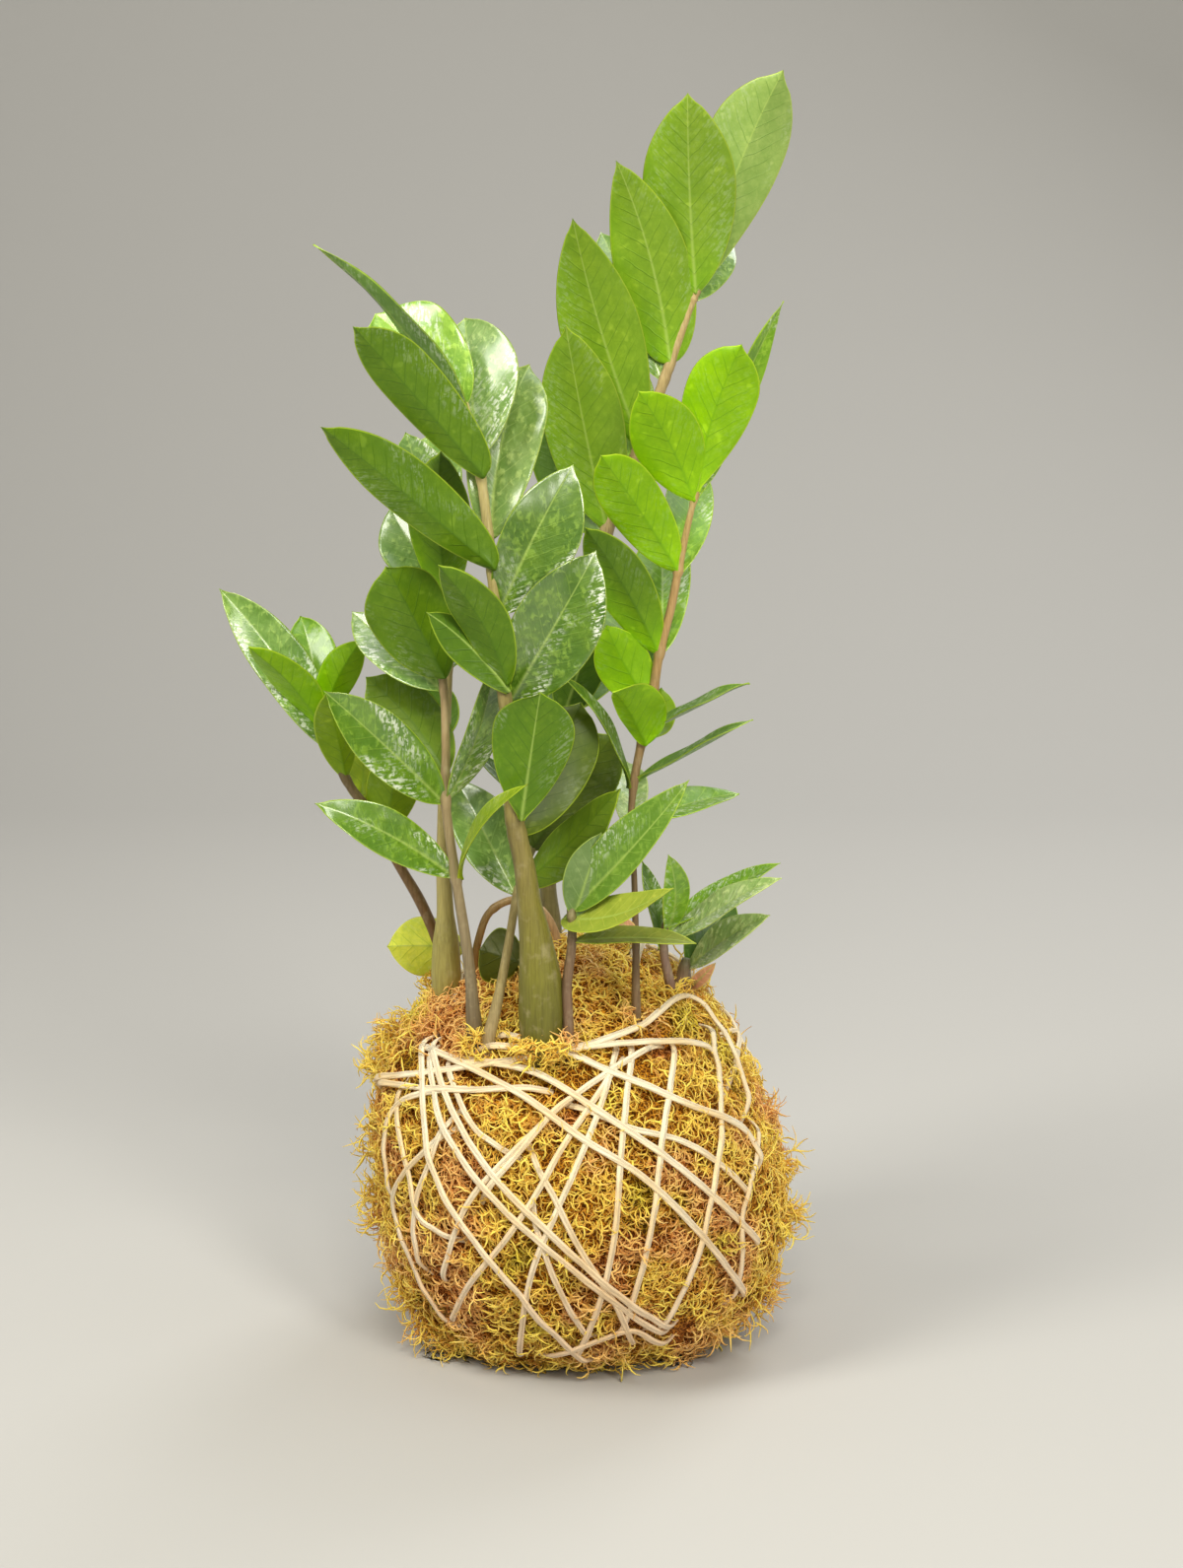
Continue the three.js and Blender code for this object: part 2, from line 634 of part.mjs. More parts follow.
// A stem's curve, from its foot among the rhizomes out through the moss and up.
function stemPath(points) {
  const aboveMoss = points.map(([u, v, depth]) => seen(u, v, depth));
  return new THREE.CatmullRomCurve3([footBelow(aboveMoss[0]), ...aboveMoss]);
}

const holes = []; // what the stems need to be clear in the moss, the soil and the rhizomes
const fronds = FRONDS.map(({ name, colour, stem, leaflets }) => {
  const path = stemPath(stem);
  const radii = [stem[0][3] * FOOT_TAPER, ...stem.map((point) => point[3])];
  holes.push(stemSolid(path, radii, GAP));
  const blades = leaflets.map(([at, u, v, depth, ...form]) =>
    leafletSolid(path.getPoint(shareAtHeight(path, at)), seen(u, v, depth), ...form),
  );
  return { name, colour, solid: union([stemSolid(path, radii), ...blades]) };
});

const stalkPoints = ARCHED_STALK.map((point) => seen(...point));
const stalkPath = new THREE.CatmullRomCurve3([
  footBelow(stalkPoints[0]),
  ...stalkPoints,
  footBelow(stalkPoints.at(-1)),
]);
const stalkRadii = stalkPath.points.map(() => ARCHED_STALK_RADIUS);
holes.push(stemSolid(stalkPath, stalkRadii, GAP));
const allHoles = union(holes);

function rhizomeSolid(extra = 0) {
  return union(
    RHIZOMES.map(({ at, half, turn }) =>
      manifoldOf(
        new THREE.SphereGeometry(1, 8, 6)
          .scale(...half.map((size) => size + extra))
          .rotateZ(THREE.MathUtils.degToRad(turn))
          .translate(...at),
      ),
    ),
  );
}

const soilForm = ballSolid(18, 10, (direction) => ballRadius(direction) - MOSS_THICKNESS - GAP);
const mossHollowForm = ballSolid(18, 10, (direction) => ballRadius(direction) - MOSS_THICKNESS);
const mossRadius = (direction) => ballRadius(direction) - MOSS_RELIEF * mossHollow(direction);
const mossForm = ballSolid(30, 16, mossRadius);
const turns = STRING_TURNS.map(turnPath);
const stringGrooves = union(turns.map((path) => turnSolid(path, GAP)));

const mossSolid = mossForm.subtract(mossHollowForm).subtract(allHoles).subtract(stringGrooves);
addPart("rhizomes", mainBody(rhizomeSolid().subtract(allHoles)), 0xa88f63, 0.8);
addPart("soil_ball", mainBody(soilForm.subtract(rhizomeSolid(GAP)).subtract(allHoles)), 0x3a2b1f, 1);
addPart("moss_skin", mainBody(mossSolid), 0xb98f2e, 1);
addPart("binding_string", union(turns.map((path) => turnSolid(path))), 0xead9b0, 0.8);
for (const { name, solid, colour } of fronds) addPart(name, solid, colour, 0.4);
addPart("arched_stalk", stemSolid(stalkPath, stalkRadii), 0x9a7240, 0.8);

export default group;
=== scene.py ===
# %% [markdown]
# A kokedama: a ZZ plant growing out of a moss ball that is bound with pale string.
#
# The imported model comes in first, as a fixed frame. It says where the ball, the string and every frond
# are. Each piece made here takes the place of one of its plain solids and stays where that solid is.

# %% Load the frame
import math
import random

import bpy
import numpy as np
from mathutils import Matrix, Vector, noise


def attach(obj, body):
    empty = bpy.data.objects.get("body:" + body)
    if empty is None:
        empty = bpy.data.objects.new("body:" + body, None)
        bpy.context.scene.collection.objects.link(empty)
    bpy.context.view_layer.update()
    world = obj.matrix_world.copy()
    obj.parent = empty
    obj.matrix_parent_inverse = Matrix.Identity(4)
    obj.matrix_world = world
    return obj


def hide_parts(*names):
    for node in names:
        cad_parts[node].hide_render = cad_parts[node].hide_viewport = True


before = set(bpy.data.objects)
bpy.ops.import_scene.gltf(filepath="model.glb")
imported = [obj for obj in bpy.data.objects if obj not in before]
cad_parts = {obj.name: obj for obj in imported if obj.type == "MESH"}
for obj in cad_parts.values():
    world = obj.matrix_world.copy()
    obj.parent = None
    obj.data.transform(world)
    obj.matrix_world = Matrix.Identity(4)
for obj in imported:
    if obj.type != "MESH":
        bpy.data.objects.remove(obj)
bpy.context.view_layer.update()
scene = bpy.context.scene
print("nodes in the frame:", len(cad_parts))


def add_object(name, data):
    """A new object in the scene."""
    made = bpy.data.objects.new(name, data)
    scene.collection.objects.link(made)
    return made


def mesh_of(name, points, faces, edges=(), smooth=False):
    """A new mesh from points in metres."""
    mesh = bpy.data.meshes.new(name)
    mesh.from_pydata(points, edges, faces, shade_flat=not smooth)
    return mesh


# %% [markdown]
# The photograph is taken from a little above the ball, looking down at it. The camera stands at the same
# eye point, and places on the plant are written as they are seen from it: u to the right and v upwards,
# in millimetres on a picture plane, and depth, the real Y of the point, also in millimetres. That is the
# natural way to describe a plant that is known from one view, because the outline can be checked against
# the picture.

# %% The eye point and the camera
MM = 0.001
EYE = Vector((4, -940, 403))
EYE_PITCH = math.radians(12.5)
PICTURE_DISTANCE = 966.7
PICTURE_MIDDLE = (4, 200)
PICTURE_CORNER = (-196, 465.2)  # the picture's upper left corner, as u and v
PIXELS_PER_MM = 3
PICTURE_PIXELS = 1591  # from the picture's top to its foot
FOCAL_PIXELS = 2900
SENSOR_HEIGHT = 36
FORWARD = Vector((0, math.cos(EYE_PITCH), -math.sin(EYE_PITCH)))
UPWARD = Vector((0, math.sin(EYE_PITCH), math.cos(EYE_PITCH)))
DEPTHWARD = Vector((0, 1, 0))

camera = add_object("camera", bpy.data.cameras.new("camera"))
camera.location = EYE * MM
camera.rotation_euler = (math.radians(90) - EYE_PITCH, 0, 0)
camera.data.sensor_fit = "VERTICAL"
camera.data.sensor_height = SENSOR_HEIGHT
camera.data.lens = SENSOR_HEIGHT * FOCAL_PIXELS / PICTURE_PIXELS
scene.camera = camera


def ray_to(u, v):
    """The direction from the eye to a place on the picture plane."""
    raised = FORWARD * PICTURE_DISTANCE + UPWARD * (v - PICTURE_MIDDLE[1])
    return raised + Vector((u - PICTURE_MIDDLE[0], 0, 0))


def seen(u, v, depth):
    """The real place, in mm, of a point that is seen at u, v and lies at this depth."""
    ray = ray_to(u, v)
    return EYE + ray * ((depth - EYE.y) / ray.y)


def seen_height(point):
    """The height on the picture plane at which a real point is seen."""
    away = point - EYE
    return PICTURE_MIDDLE[1] + away.dot(UPWARD) * PICTURE_DISTANCE / away.dot(FORWARD)


print("camera at", tuple(round(value, 3) for value in camera.location))

# %% [markdown]
# Every finish is a tree of shader nodes. Small helpers keep those trees short: one adds a node and sets
# or links its inputs, others name the nodes that come up often, and a pair opens and closes a node group
# with named inputs and outputs. A group gives out only colours, masks and heights that change over the
# surface. The Principled BSDF itself stays in each material.


# %% Helpers for shader nodes
def add_node(tree, kind, inputs=None, **settings):
    """Adds a node. Inputs are set by name or number, to a value or to another node's output."""
    node = tree.nodes.new(kind)
    for name, value in settings.items():
        setattr(node, name, value)
    for name, value in (inputs or {}).items():
        if isinstance(value, bpy.types.NodeSocket):
            tree.links.new(value, node.inputs[name])
        else:
            node.inputs[name].default_value = value
    return node


def maths(tree, operation, *values, clamp=False):
    inputs = dict(enumerate(values))
    return add_node(tree, "ShaderNodeMath", inputs, operation=operation, use_clamp=clamp).outputs[0]


def times(tree, first, second):
    return maths(tree, "MULTIPLY", first, second)


def plus(tree, first, second):
    return maths(tree, "ADD", first, second)


def minus(tree, first, second):
    return maths(tree, "SUBTRACT", first, second)


def vector_maths(tree, operation, first, second):
    """Two vectors added or multiplied, or, with SCALE, a vector times a number."""
    inputs = {0: first, "Scale" if operation == "SCALE" else 1: second}
    return add_node(tree, "ShaderNodeVectorMath", inputs, operation=operation).outputs[0]


def combined(tree, x, y, z=0.0):
    return add_node(tree, "ShaderNodeCombineXYZ", {0: x, 1: y, 2: z}).outputs[0]


def separated(tree, vector):
    return add_node(tree, "ShaderNodeSeparateXYZ", {0: vector}).outputs


def attribute(tree, name):
    """The outputs of a node that reads an attribute of the mesh."""
    return add_node(tree, "ShaderNodeAttribute", attribute_name=name).outputs


def own_place(tree):
    """Where a point is in the object's own space."""
    return add_node(tree, "ShaderNodeTexCoord").outputs["Object"]


def ramp_between(tree, value, low, high, out_low=0.0, out_high=1.0):
    """The value's place between low and high, smoothly, as a number from out_low to out_high."""
    inputs = {"Value": value, "From Min": low, "From Max": high, "To Min": out_low, "To Max": out_high}
    return add_node(tree, "ShaderNodeMapRange", inputs, interpolation_type="SMOOTHSTEP").outputs[0]


def mix_colours(tree, share, first, second, blend="MIX"):
    inputs = {0: share, 6: first, 7: second}
    return add_node(tree, "ShaderNodeMix", inputs, data_type="RGBA", blend_type=blend).outputs[2]


def noise_at(tree, vector, scale, detail=2.0, roughness=0.5):
    inputs = {"Vector": vector, "Scale": scale, "Detail": detail, "Roughness": roughness}
    return add_node(tree, "ShaderNodeTexNoise", inputs).outputs[0]


def to_cell_edge(tree, vector, scale):
    """How far a point is from the edge of its cell, in a pattern of cells."""
    inputs = {"Vector": vector, "Scale": scale}
    return add_node(tree, "ShaderNodeTexVoronoi", inputs, feature="DISTANCE_TO_EDGE").outputs["Distance"]


def open_group(name, inputs):
    """An empty shader node group with numbers as inputs: its tree and its Group Input's outputs."""
    tree = bpy.data.node_groups.new(name, "ShaderNodeTree")
    for label, value in inputs.items():
        socket = tree.interface.new_socket(label, in_out="INPUT", socket_type="NodeSocketFloat")
        socket.default_value = value
    return tree, tree.nodes.new("NodeGroupInput").outputs


def close_group(tree, outputs):
    """Gives a group its outputs, each of the kind of the socket that feeds it."""
    for label, socket in outputs.items():
        kind = "NodeSocketColor" if socket.type == "RGBA" else "NodeSocketFloat"
        tree.interface.new_socket(label, in_out="OUTPUT", socket_type=kind)
    add_node(tree, "NodeGroupOutput", outputs)


def place_group(tree, group, inputs):
    return add_node(tree, "ShaderNodeGroup", inputs, node_tree=group).outputs


def open_material(name, **constants):
    """A new material with a Principled BSDF whose constants are set: with its tree and that shader."""
    material = bpy.data.materials.new(name)
    material.use_nodes = True
    shader = material.node_tree.nodes["Principled BSDF"]
    for label, value in constants.items():
        shader.inputs[label.replace("_", " ")].default_value = value
    return material, material.node_tree, shader


def feed(tree, shader, **sockets):
    for label, socket in sockets.items():
        tree.links.new(socket, shader.inputs[label.replace("_", " ")])


def bump(tree, height, distance, strength):
    inputs = {"Height": height, "Distance": distance, "Strength": strength}
    return add_node(tree, "ShaderNodeBump", inputs).outputs[0]


def colour(code, alpha=1.0):
    """A colour written as on the web, such as 0x4C8A22, as linear light for a shader, with its alpha."""
    parts = [(code >> shift & 255) / 255 for shift in (16, 8, 0)]
    light = (part / 12.92 if part <= 0.04045 else ((part + 0.055) / 1.055) ** 2.4 for part in parts)
    return (*light, alpha)


print("helpers for shader nodes are ready")

# %% [markdown]
# A leaflet of this plant is thick and waxy. A midrib runs from its foot and thins towards its tip. On
# some leaflets it is paler than the blade and on some darker. Thin side veins leave it at a slant, and
# the margin is a bright yellow-green line. On the upper side a painted highlight stands in for the sheen
# on the wax: nearly white streaks inside a few broad zones, stronger towards the margin. All of these
# follow the blade, so one group reads them from the blade's own UV map, which holds real distances, and
# from an attribute that says how far a point is from the midrib and from the foot.

# %% The marks on a blade, as a node group
VEIN_SPACING = 0.0055  # metres between side veins, along the midrib
VEIN_SLANT = 1.05  # how far forward a side vein runs for each step outwards
MARGIN_WIDTH = 0.0005
PALE_RIB_FROM = 0.5  # a blade whose own number is above this has a pale midrib, and the others a dark one

marks, given = open_group("Blade marks", {"Vein wander": 0.35, "Vein width": 0.07})
blade_map = attribute(marks, "blade_map")
own_number = blade_map["Alpha"]
parts = add_node(marks, "ShaderNodeSeparateColor", {0: blade_map["Color"]})
share_out, share_along, underside = parts.outputs
place_on_blade = add_node(marks, "ShaderNodeUVMap", uv_map="blade_uv").outputs[0]
across, along, _ = separated(marks, place_on_blade)
off_midrib = maths(marks, "ABSOLUTE", across)
midrib_width = ramp_between(marks, share_along, 0.0, 0.9, 0.0009, 0.0003)
midrib = maths(marks, "SUBTRACT", 1.0, maths(marks, "DIVIDE", off_midrib, midrib_width), clamp=True)
wander = times(marks, noise_at(marks, place_on_blade, 120, 1.0), given["Vein wander"])
slanted = minus(marks, along, times(marks, off_midrib, VEIN_SLANT))
phase = plus(marks, maths(marks, "DIVIDE", slanted, VEIN_SPACING), wander)
to_vein = maths(marks, "ABSOLUTE", minus(marks, maths(marks, "FRACT", phase), 0.5))
vein = ramp_between(marks, to_vein, given["Vein width"], 0.0)
half_width = maths(marks, "DIVIDE", off_midrib, maths(marks, "MAXIMUM", share_out, 0.3))
margin = ramp_between(marks, minus(marks, half_width, off_midrib), MARGIN_WIDTH, MARGIN_WIDTH * 0.3)
drawn = combined(marks, slanted, times(marks, off_midrib, 0.4), own_number)
# Painted highlight: broad zones where the leaf's colour is later made nearly white, as sheen on the wax.
zoned = combined(marks, across, times(marks, along, 0.45), own_number)
zones = ramp_between(marks, noise_at(marks, zoned, 80, 2.0), 0.49, 0.58)
close_group(
    marks,
    {
        "Midrib": midrib,
        "Side veins": times(marks, vein, ramp_between(marks, share_out, 0.95, 0.4)),
        "Margin": times(marks, margin, ramp_between(marks, share_out, 0.5, 0.7)),
        "Underside": underside,
        "Streaks": noise_at(marks, drawn, 900, 3.0, 0.6),
        # Sheen: the mask of painted highlight, its zones stronger towards the margin.
        "Sheen": times(marks, zones, ramp_between(marks, share_out, 0.2, 0.8, 0.3, 1.0)),
        "Pale rib": maths(marks, "GREATER_THAN", own_number, PALE_RIB_FROM),
    },
)
print("blade marks:", len(marks.nodes), "nodes")

# %% [markdown]
# The quilted skin is a group of its own. It puts out a height for the bump, a mask of pale flecks, which
# are partly painted highlight on the pebbles, and broad soft patches. Its cells are drawn out along Z by
# the stretch.

# %% The quilted skin, as a node group
quilt, given = open_group("Quilted skin", {"Cell size": 0.002, "Stretch": 1.0})
coords = own_place(quilt)
per_cell = maths(quilt, "DIVIDE", 1.0, given["Cell size"])
stretched = vector_maths(quilt, "MULTIPLY", coords, combined(quilt, 1.0, 1.0, given["Stretch"]))
shift = add_node(quilt, "ShaderNodeTexNoise", {"Vector": stretched, "Scale": per_cell, "Detail": 1.0})
moved = vector_maths(quilt, "ADD", stretched, vector_maths(quilt, "SCALE", shift.outputs["Color"], 0.002))
pattern = {"Vector": moved, "Scale": per_cell, "Smoothness": 0.6}
cells = add_node(quilt, "ShaderNodeTexVoronoi", pattern, feature="SMOOTH_F1").outputs["Distance"]
fine = noise_at(quilt, moved, times(quilt, per_cell, 1.7), 3.0)
soft_cells = ramp_between(quilt, cells, 0.62, 0.3)
close_group(
    quilt,
    {
        "Height": minus(quilt, times(quilt, fine, 0.6), times(quilt, cells, 0.8)),
        # Flecks: pale marks on the cells, partly painted highlight on the pebbles.
        "Flecks": times(quilt, soft_cells, ramp_between(quilt, fine, 0.47, 0.58)),
        "Patches": noise_at(quilt, coords, 110, 2.0),
    },
)
print("quilted skin:", len(quilt.nodes), "nodes")

# %% [markdown]
# Each leaflet carries its own colour as an attribute, with the strength of its quilting in the fourth
# number, so one material serves every leaflet. The colour varies in soft patches, mottles, a fine net and
# spots. Pale flecks, partly painted highlight, and nearly white streaks of painted highlight in the zones
# of sheen go on top, with the marks. The relief shapes the leaf's own skin. The wax is the shader's coat,
# which stays smooth over it and is as strong as the quilting, so undersides are nearly dull.

# %% The leaf material
leaf_finish, tree, shader = open_material("leaf", IOR=1.3, Coat_Roughness=0.2, Coat_IOR=1.75)
tint = attribute(tree, "blade_tint")
own_colour, quilting = tint["Color"], tint["Alpha"]
leaf_marks = place_group(tree, marks, {"Vein wander": 0.5})
skin = place_group(tree, quilt, {"Cell size": 0.0026, "Stretch": 0.75})
coords = own_place(tree)
shaded = mix_colours(tree, 1.0, own_colour, (0.62, 0.74, 0.5, 1), "MULTIPLY")
brighter = mix_colours(tree, 1.0, own_colour, (1.7, 1.45, 1.7, 1), "MULTIPLY")
paler = mix_colours(tree, 1.0, brighter, (0.04, 0.06, 0.02, 1), "ADD")

patch_strength = plus(tree, times(tree, quilting, 0.6), 0.4)
patches = times(tree, ramp_between(tree, skin["Patches"], 0.35, 0.65), patch_strength)
mottles = ramp_between(tree, noise_at(tree, coords, 420, 3.0, 0.6), 0.42, 0.62, 0.0, 0.3)
patched = mix_colours(tree, patches, mix_colours(tree, mottles, own_colour, shaded), shaded)
net = ramp_between(tree, to_cell_edge(tree, coords, 300.0), 0.06, 0.0, 0.0, 0.28)
netted = mix_colours(tree, net, patched, shaded)
spots = ramp_between(tree, noise_at(tree, coords, 240, 1.0), 0.66, 0.78, 0.0, 0.4)
spotted = mix_colours(tree, spots, netted, paler)

# Pale flecks on the quilt's cells: partly pale pebbles of the skin, partly painted highlight, stronger as
# the quilting is.
fleck_strength = plus(tree, times(tree, quilting, 0.6), 0.06)
flecked = mix_colours(tree, times(tree, skin["Flecks"], fleck_strength), spotted, paler)
# Painted highlight: inside the zones of sheen the colour turns nearly white, broken up by streaks and
# crumbs, as strong as the quilting.
crumbs = ramp_between(tree, noise_at(tree, coords, 650, 2.0, 0.6), 0.4, 0.56)
broken = times(tree, crumbs, ramp_between(tree, leaf_marks["Streaks"], 0.44, 0.58))
painted_glints = times(tree, times(tree, leaf_marks["Sheen"], broken), quilting)
with_painted_glints = mix_colours(tree, painted_glints, flecked, (0.85, 0.9, 0.74, 1))

pale_veined = mix_colours(tree, times(tree, leaf_marks["Side veins"], 0.4), with_painted_glints, paler)
dark_veined = mix_colours(tree, times(tree, leaf_marks["Side veins"], 0.8), with_painted_glints, shaded)
veined = mix_colours(tree, leaf_marks["Underside"], pale_veined, dark_veined)
rib_colour = mix_colours(tree, leaf_marks["Pale rib"], shaded, (0.42, 0.56, 0.12, 1))
rib_strength = ramp_between(tree, leaf_marks["Pale rib"], 0.0, 1.0, 0.8, 0.6)
ribbed = mix_colours(tree, times(tree, leaf_marks["Midrib"], rib_strength), veined, rib_colour)
edge_colour = mix_colours(tree, 0.55, paler, (0.5, 0.66, 0.03, 1))
edged = mix_colours(tree, times(tree, leaf_marks["Margin"], 0.85), ribbed, edge_colour)

pebbled = times(tree, skin["Height"], plus(tree, quilting, 0.12))
streaked = times(tree, leaf_marks["Streaks"], times(tree, quilting, 0.6))
vein_dips = times(tree, leaf_marks["Side veins"], -0.16)
relief = plus(tree, plus(tree, pebbled, streaked), vein_dips)
feed(
    tree,
    shader,
    Base_Color=edged,
    Roughness=ramp_between(tree, skin["Patches"], 0.3, 0.7, 0.42, 0.58),
    Coat_Weight=quilting,
    Normal=bump(tree, relief, 0.0006, 0.9),
)
print("leaf material:", len(tree.nodes), "nodes")

# %% [markdown]
# The stems are fleshy. Near the moss they are swollen and olive, and higher up they turn tan, so each
# carries its colour along its length as an attribute too. Fine lines run along them. Stretching the noise
# along Z, the way the stems stand, draws those lines without a UV map.

# %% The stem material
stem_finish, tree, shader = open_material("stem", IOR=1.45, Coat_Roughness=0.3, Coat_Weight=0.12)
own_colour = attribute(tree, "blade_tint")["Color"]
coords = own_place(tree)
lines = noise_at(tree, vector_maths(tree, "MULTIPLY", coords, (1, 1, 0.06)), 1500, 3.0, 0.6)
blotches = noise_at(tree, coords, 190, 3.0, 0.6)
darker = mix_colours(tree, 1.0, own_colour, (0.52, 0.48, 0.4, 1), "MULTIPLY")
lined = mix_colours(tree, ramp_between(tree, lines, 0.35, 0.7, 0.0, 0.55), own_colour, darker)
blotch_strength = ramp_between(tree, blotches, 0.5, 0.75, 0.0, 0.35)
feed(
    tree,
    shader,
    Base_Color=mix_colours(tree, blotch_strength, lined, (0.5, 0.42, 0.24, 1)),
    Roughness=ramp_between(tree, blotches, 0.3, 0.7, 0.42, 0.6),
    Normal=bump(tree, lines, 0.0003, 0.6),
)
print("stem material:", len(tree.nodes), "nodes")

# %% [markdown]
# Mesh pieces are gathered in a small builder: points, faces, the material of each face, and the point
# attributes that the materials read. One frond is one grown piece, so its stem and all of its leaflets go
# into one mesh.


# %% A builder for one grown piece
class Growth:
    def __init__(self):
        self.points, self.faces, self.finishes = [], [], []
        self.tints, self.maps, self.uvs = [], [], []

    def add(self, points, faces, finish, tints, maps=None, uvs=None):
        start = len(self.points)
        count = len(points)
        self.points.extend(points)
        self.faces.extend(tuple(start + corner for corner in face) for face in faces)
        self.finishes.extend([finish] * len(faces))
        self.tints.extend(tints)
        self.maps.extend(maps or [(0.0, 0.0, 0.0, 0.0)] * count)
        self.uvs.extend(uvs or [(0.0, 0.0)] * count)

    def make(self, name, finishes):
        points = [tuple(value * MM for value in point) for point in self.points]
        mesh = mesh_of(name, points, self.faces, smooth=True)
        for finish in finishes:
            mesh.materials.append(finish)
        mesh.polygons.foreach_set("material_index", self.finishes)
        for label, values in (("blade_tint", self.tints), ("blade_map", self.maps)):
            values_of = mesh.attributes.new(label, "FLOAT_COLOR", "POINT")
            values_of.data.foreach_set("color", np.array(values, dtype=np.float32).ravel())
        corners = np.empty(len(mesh.loops), dtype=np.int32)
        mesh.loops.foreach_get("vertex_index", corners)
        uv_layer = mesh.uv_layers.new(name="blade_uv")
        uv_layer.uv.foreach_set("vector", np.array(self.uvs, dtype=np.float32)[corners].ravel())
        mesh.validate()
        return add_object(name, mesh)


print("builder ready")

# %% [markdown]
# A blade is a grid of points along and across the leaflet, with an upper and a lower face that meet at
# the margins. Its middle line bends from foot to tip, and its halves stand up a little from the midrib,
# as a folded sheet does. On top of that plain form come the details that catch the light: a groove along
# the midrib, low pillows between the side veins, and a slow wave in the margins. Formulas place them,
# because real distances are known at every point.

# %% The form of a leaflet
# Each outline: where it is widest, how it narrows to the foot, and how blunt it is towards the tip.
POINTED = (0.515, 0.72, 2.15)
SLENDER = (0.47, 0.8, 1.9)
ROUND = (0.6, 0.62, 2.7)
SHARP = (0.5, 0.72, 1.75)
LONG_TIP = (0.38, 0.8, 1.5)
BROAD_TOP = (0.64, 0.95, 2.4)
BROAD_FOOT = (0.41, 0.5, 2.0)
ROWS = 30
COLUMNS = [0.07, 0.2, 0.36, 0.54, 0.72, 0.88, 0.965, 1.0]  # shares of the half width
COLUMNS = [-share for share in reversed(COLUMNS)] + [0.0] + COLUMNS
CUP = 0.2  # how far the margins stand up from the midrib, as a share of the half width
FOOT_HALF_WIDTH = 1.15
FOOT_WIDE_TO = 0.3  # the share of the length where that width has faded out
NARROW = 6  # mm of half width under which a blade is thinner and has weaker pillows
MIDDLE_THICKNESS = 0.95
MARGIN_THICKNESS = 0.4
FOOT_THICKER = 1.3
PILLOW = 0.1  # how far the blade swells between two side veins
MIDRIB_GROOVE = 0.3
GROOVE_REACH = 0.9  # mm to each side
SPIKE_FROM = 0.93  # the share of the length where the tip draws in to a short spike
BLUNT_FOOT = 0.62
FOOT_COVERS = 0.15  # a leaflet that leans right by more than this lies over its stem with a blunt foot
TIP_CURLS_FROM = 0.7
FULL_TURN = 6.28  # radians, near enough for where a wave starts
PAINTED_GLOW_FOOT = 0.16  # how fast the painted glow fades from the foot, as a share of the length
PAINTED_GLOW_SIDE = 0.6  # how strong the painted glow is on the side that the light comes from


def outline_at(share, outline, blunt):
    """The half width at a share of the length, as a share of the widest. A blunt foot narrows late."""
    widest, narrowing, bluntness = outline
    if share < widest:
        return (1 - (1 - share / widest) ** 2) ** (narrowing * (BLUNT_FOOT if blunt else 1))
    spike = max(0.0, share - SPIKE_FROM) / (1 - SPIKE_FROM)
    return (1 - ((share - widest) / (1 - widest)) ** bluntness) * (1 - 0.45 * spike**0.8)


def relief_at(share, off, reach, half, length):
    """The depth of the groove along the midrib, and the swelling between two side veins, in mm."""
    groove = MIDRIB_GROOVE * (1 - share) * math.exp(-((reach / GROOVE_REACH) ** 2)) * min(1, share / 0.08)
    phase = (share * length - VEIN_SLANT * abs(reach)) / (VEIN_SPACING / MM)
    swell = PILLOW * math.cos(2 * math.pi * phase) * math.sin(math.pi * off) * min(1, half / NARROW)
    return groove, swell


def thickness_at(share, off, half):
    thickness = MARGIN_THICKNESS + (MIDDLE_THICKNESS - MARGIN_THICKNESS) * (1 - off) ** 1.5
    return thickness * min(1, 0.25 + half / NARROW) + FOOT_THICKER * math.exp(-share / 0.05) * (1 - off**2)


def blade_faces():
    """The faces of every blade: its upper side, its underside, and the rim that joins them."""
    count = len(COLUMNS)
    under = (ROWS + 1) * count
    faces = []
    for row in range(ROWS):
        for a in range(row * count, row * count + count - 1):
            b, c, d = a + 1, a + 1 + count, a + count
            faces += [(a, b, c, d), (d + under, c + under, b + under, a + under)]
    for row in range(ROWS):
        for column in (0, count - 1):
            a = row * count + column
            d = a + count
            rim = (a, d, d + under, a + under)
            faces.append(rim if column == 0 else rim[::-1])
    for a in range(count - 1):
        b = ROWS * count + a
        faces += [(a + 1, a, a + under, a + 1 + under), (b, b + 1, b + 1 + under, b + under)]
    return faces


BLADE_FACES = blade_faces()
EVEN_ROWS = np.linspace(0, 1, ROWS + 1)
BLADE_ROWS = 0.35 * EVEN_ROWS + 0.65 * (0.5 - 0.5 * np.cos(np.pi * EVEN_ROWS))  # closer at foot and tip


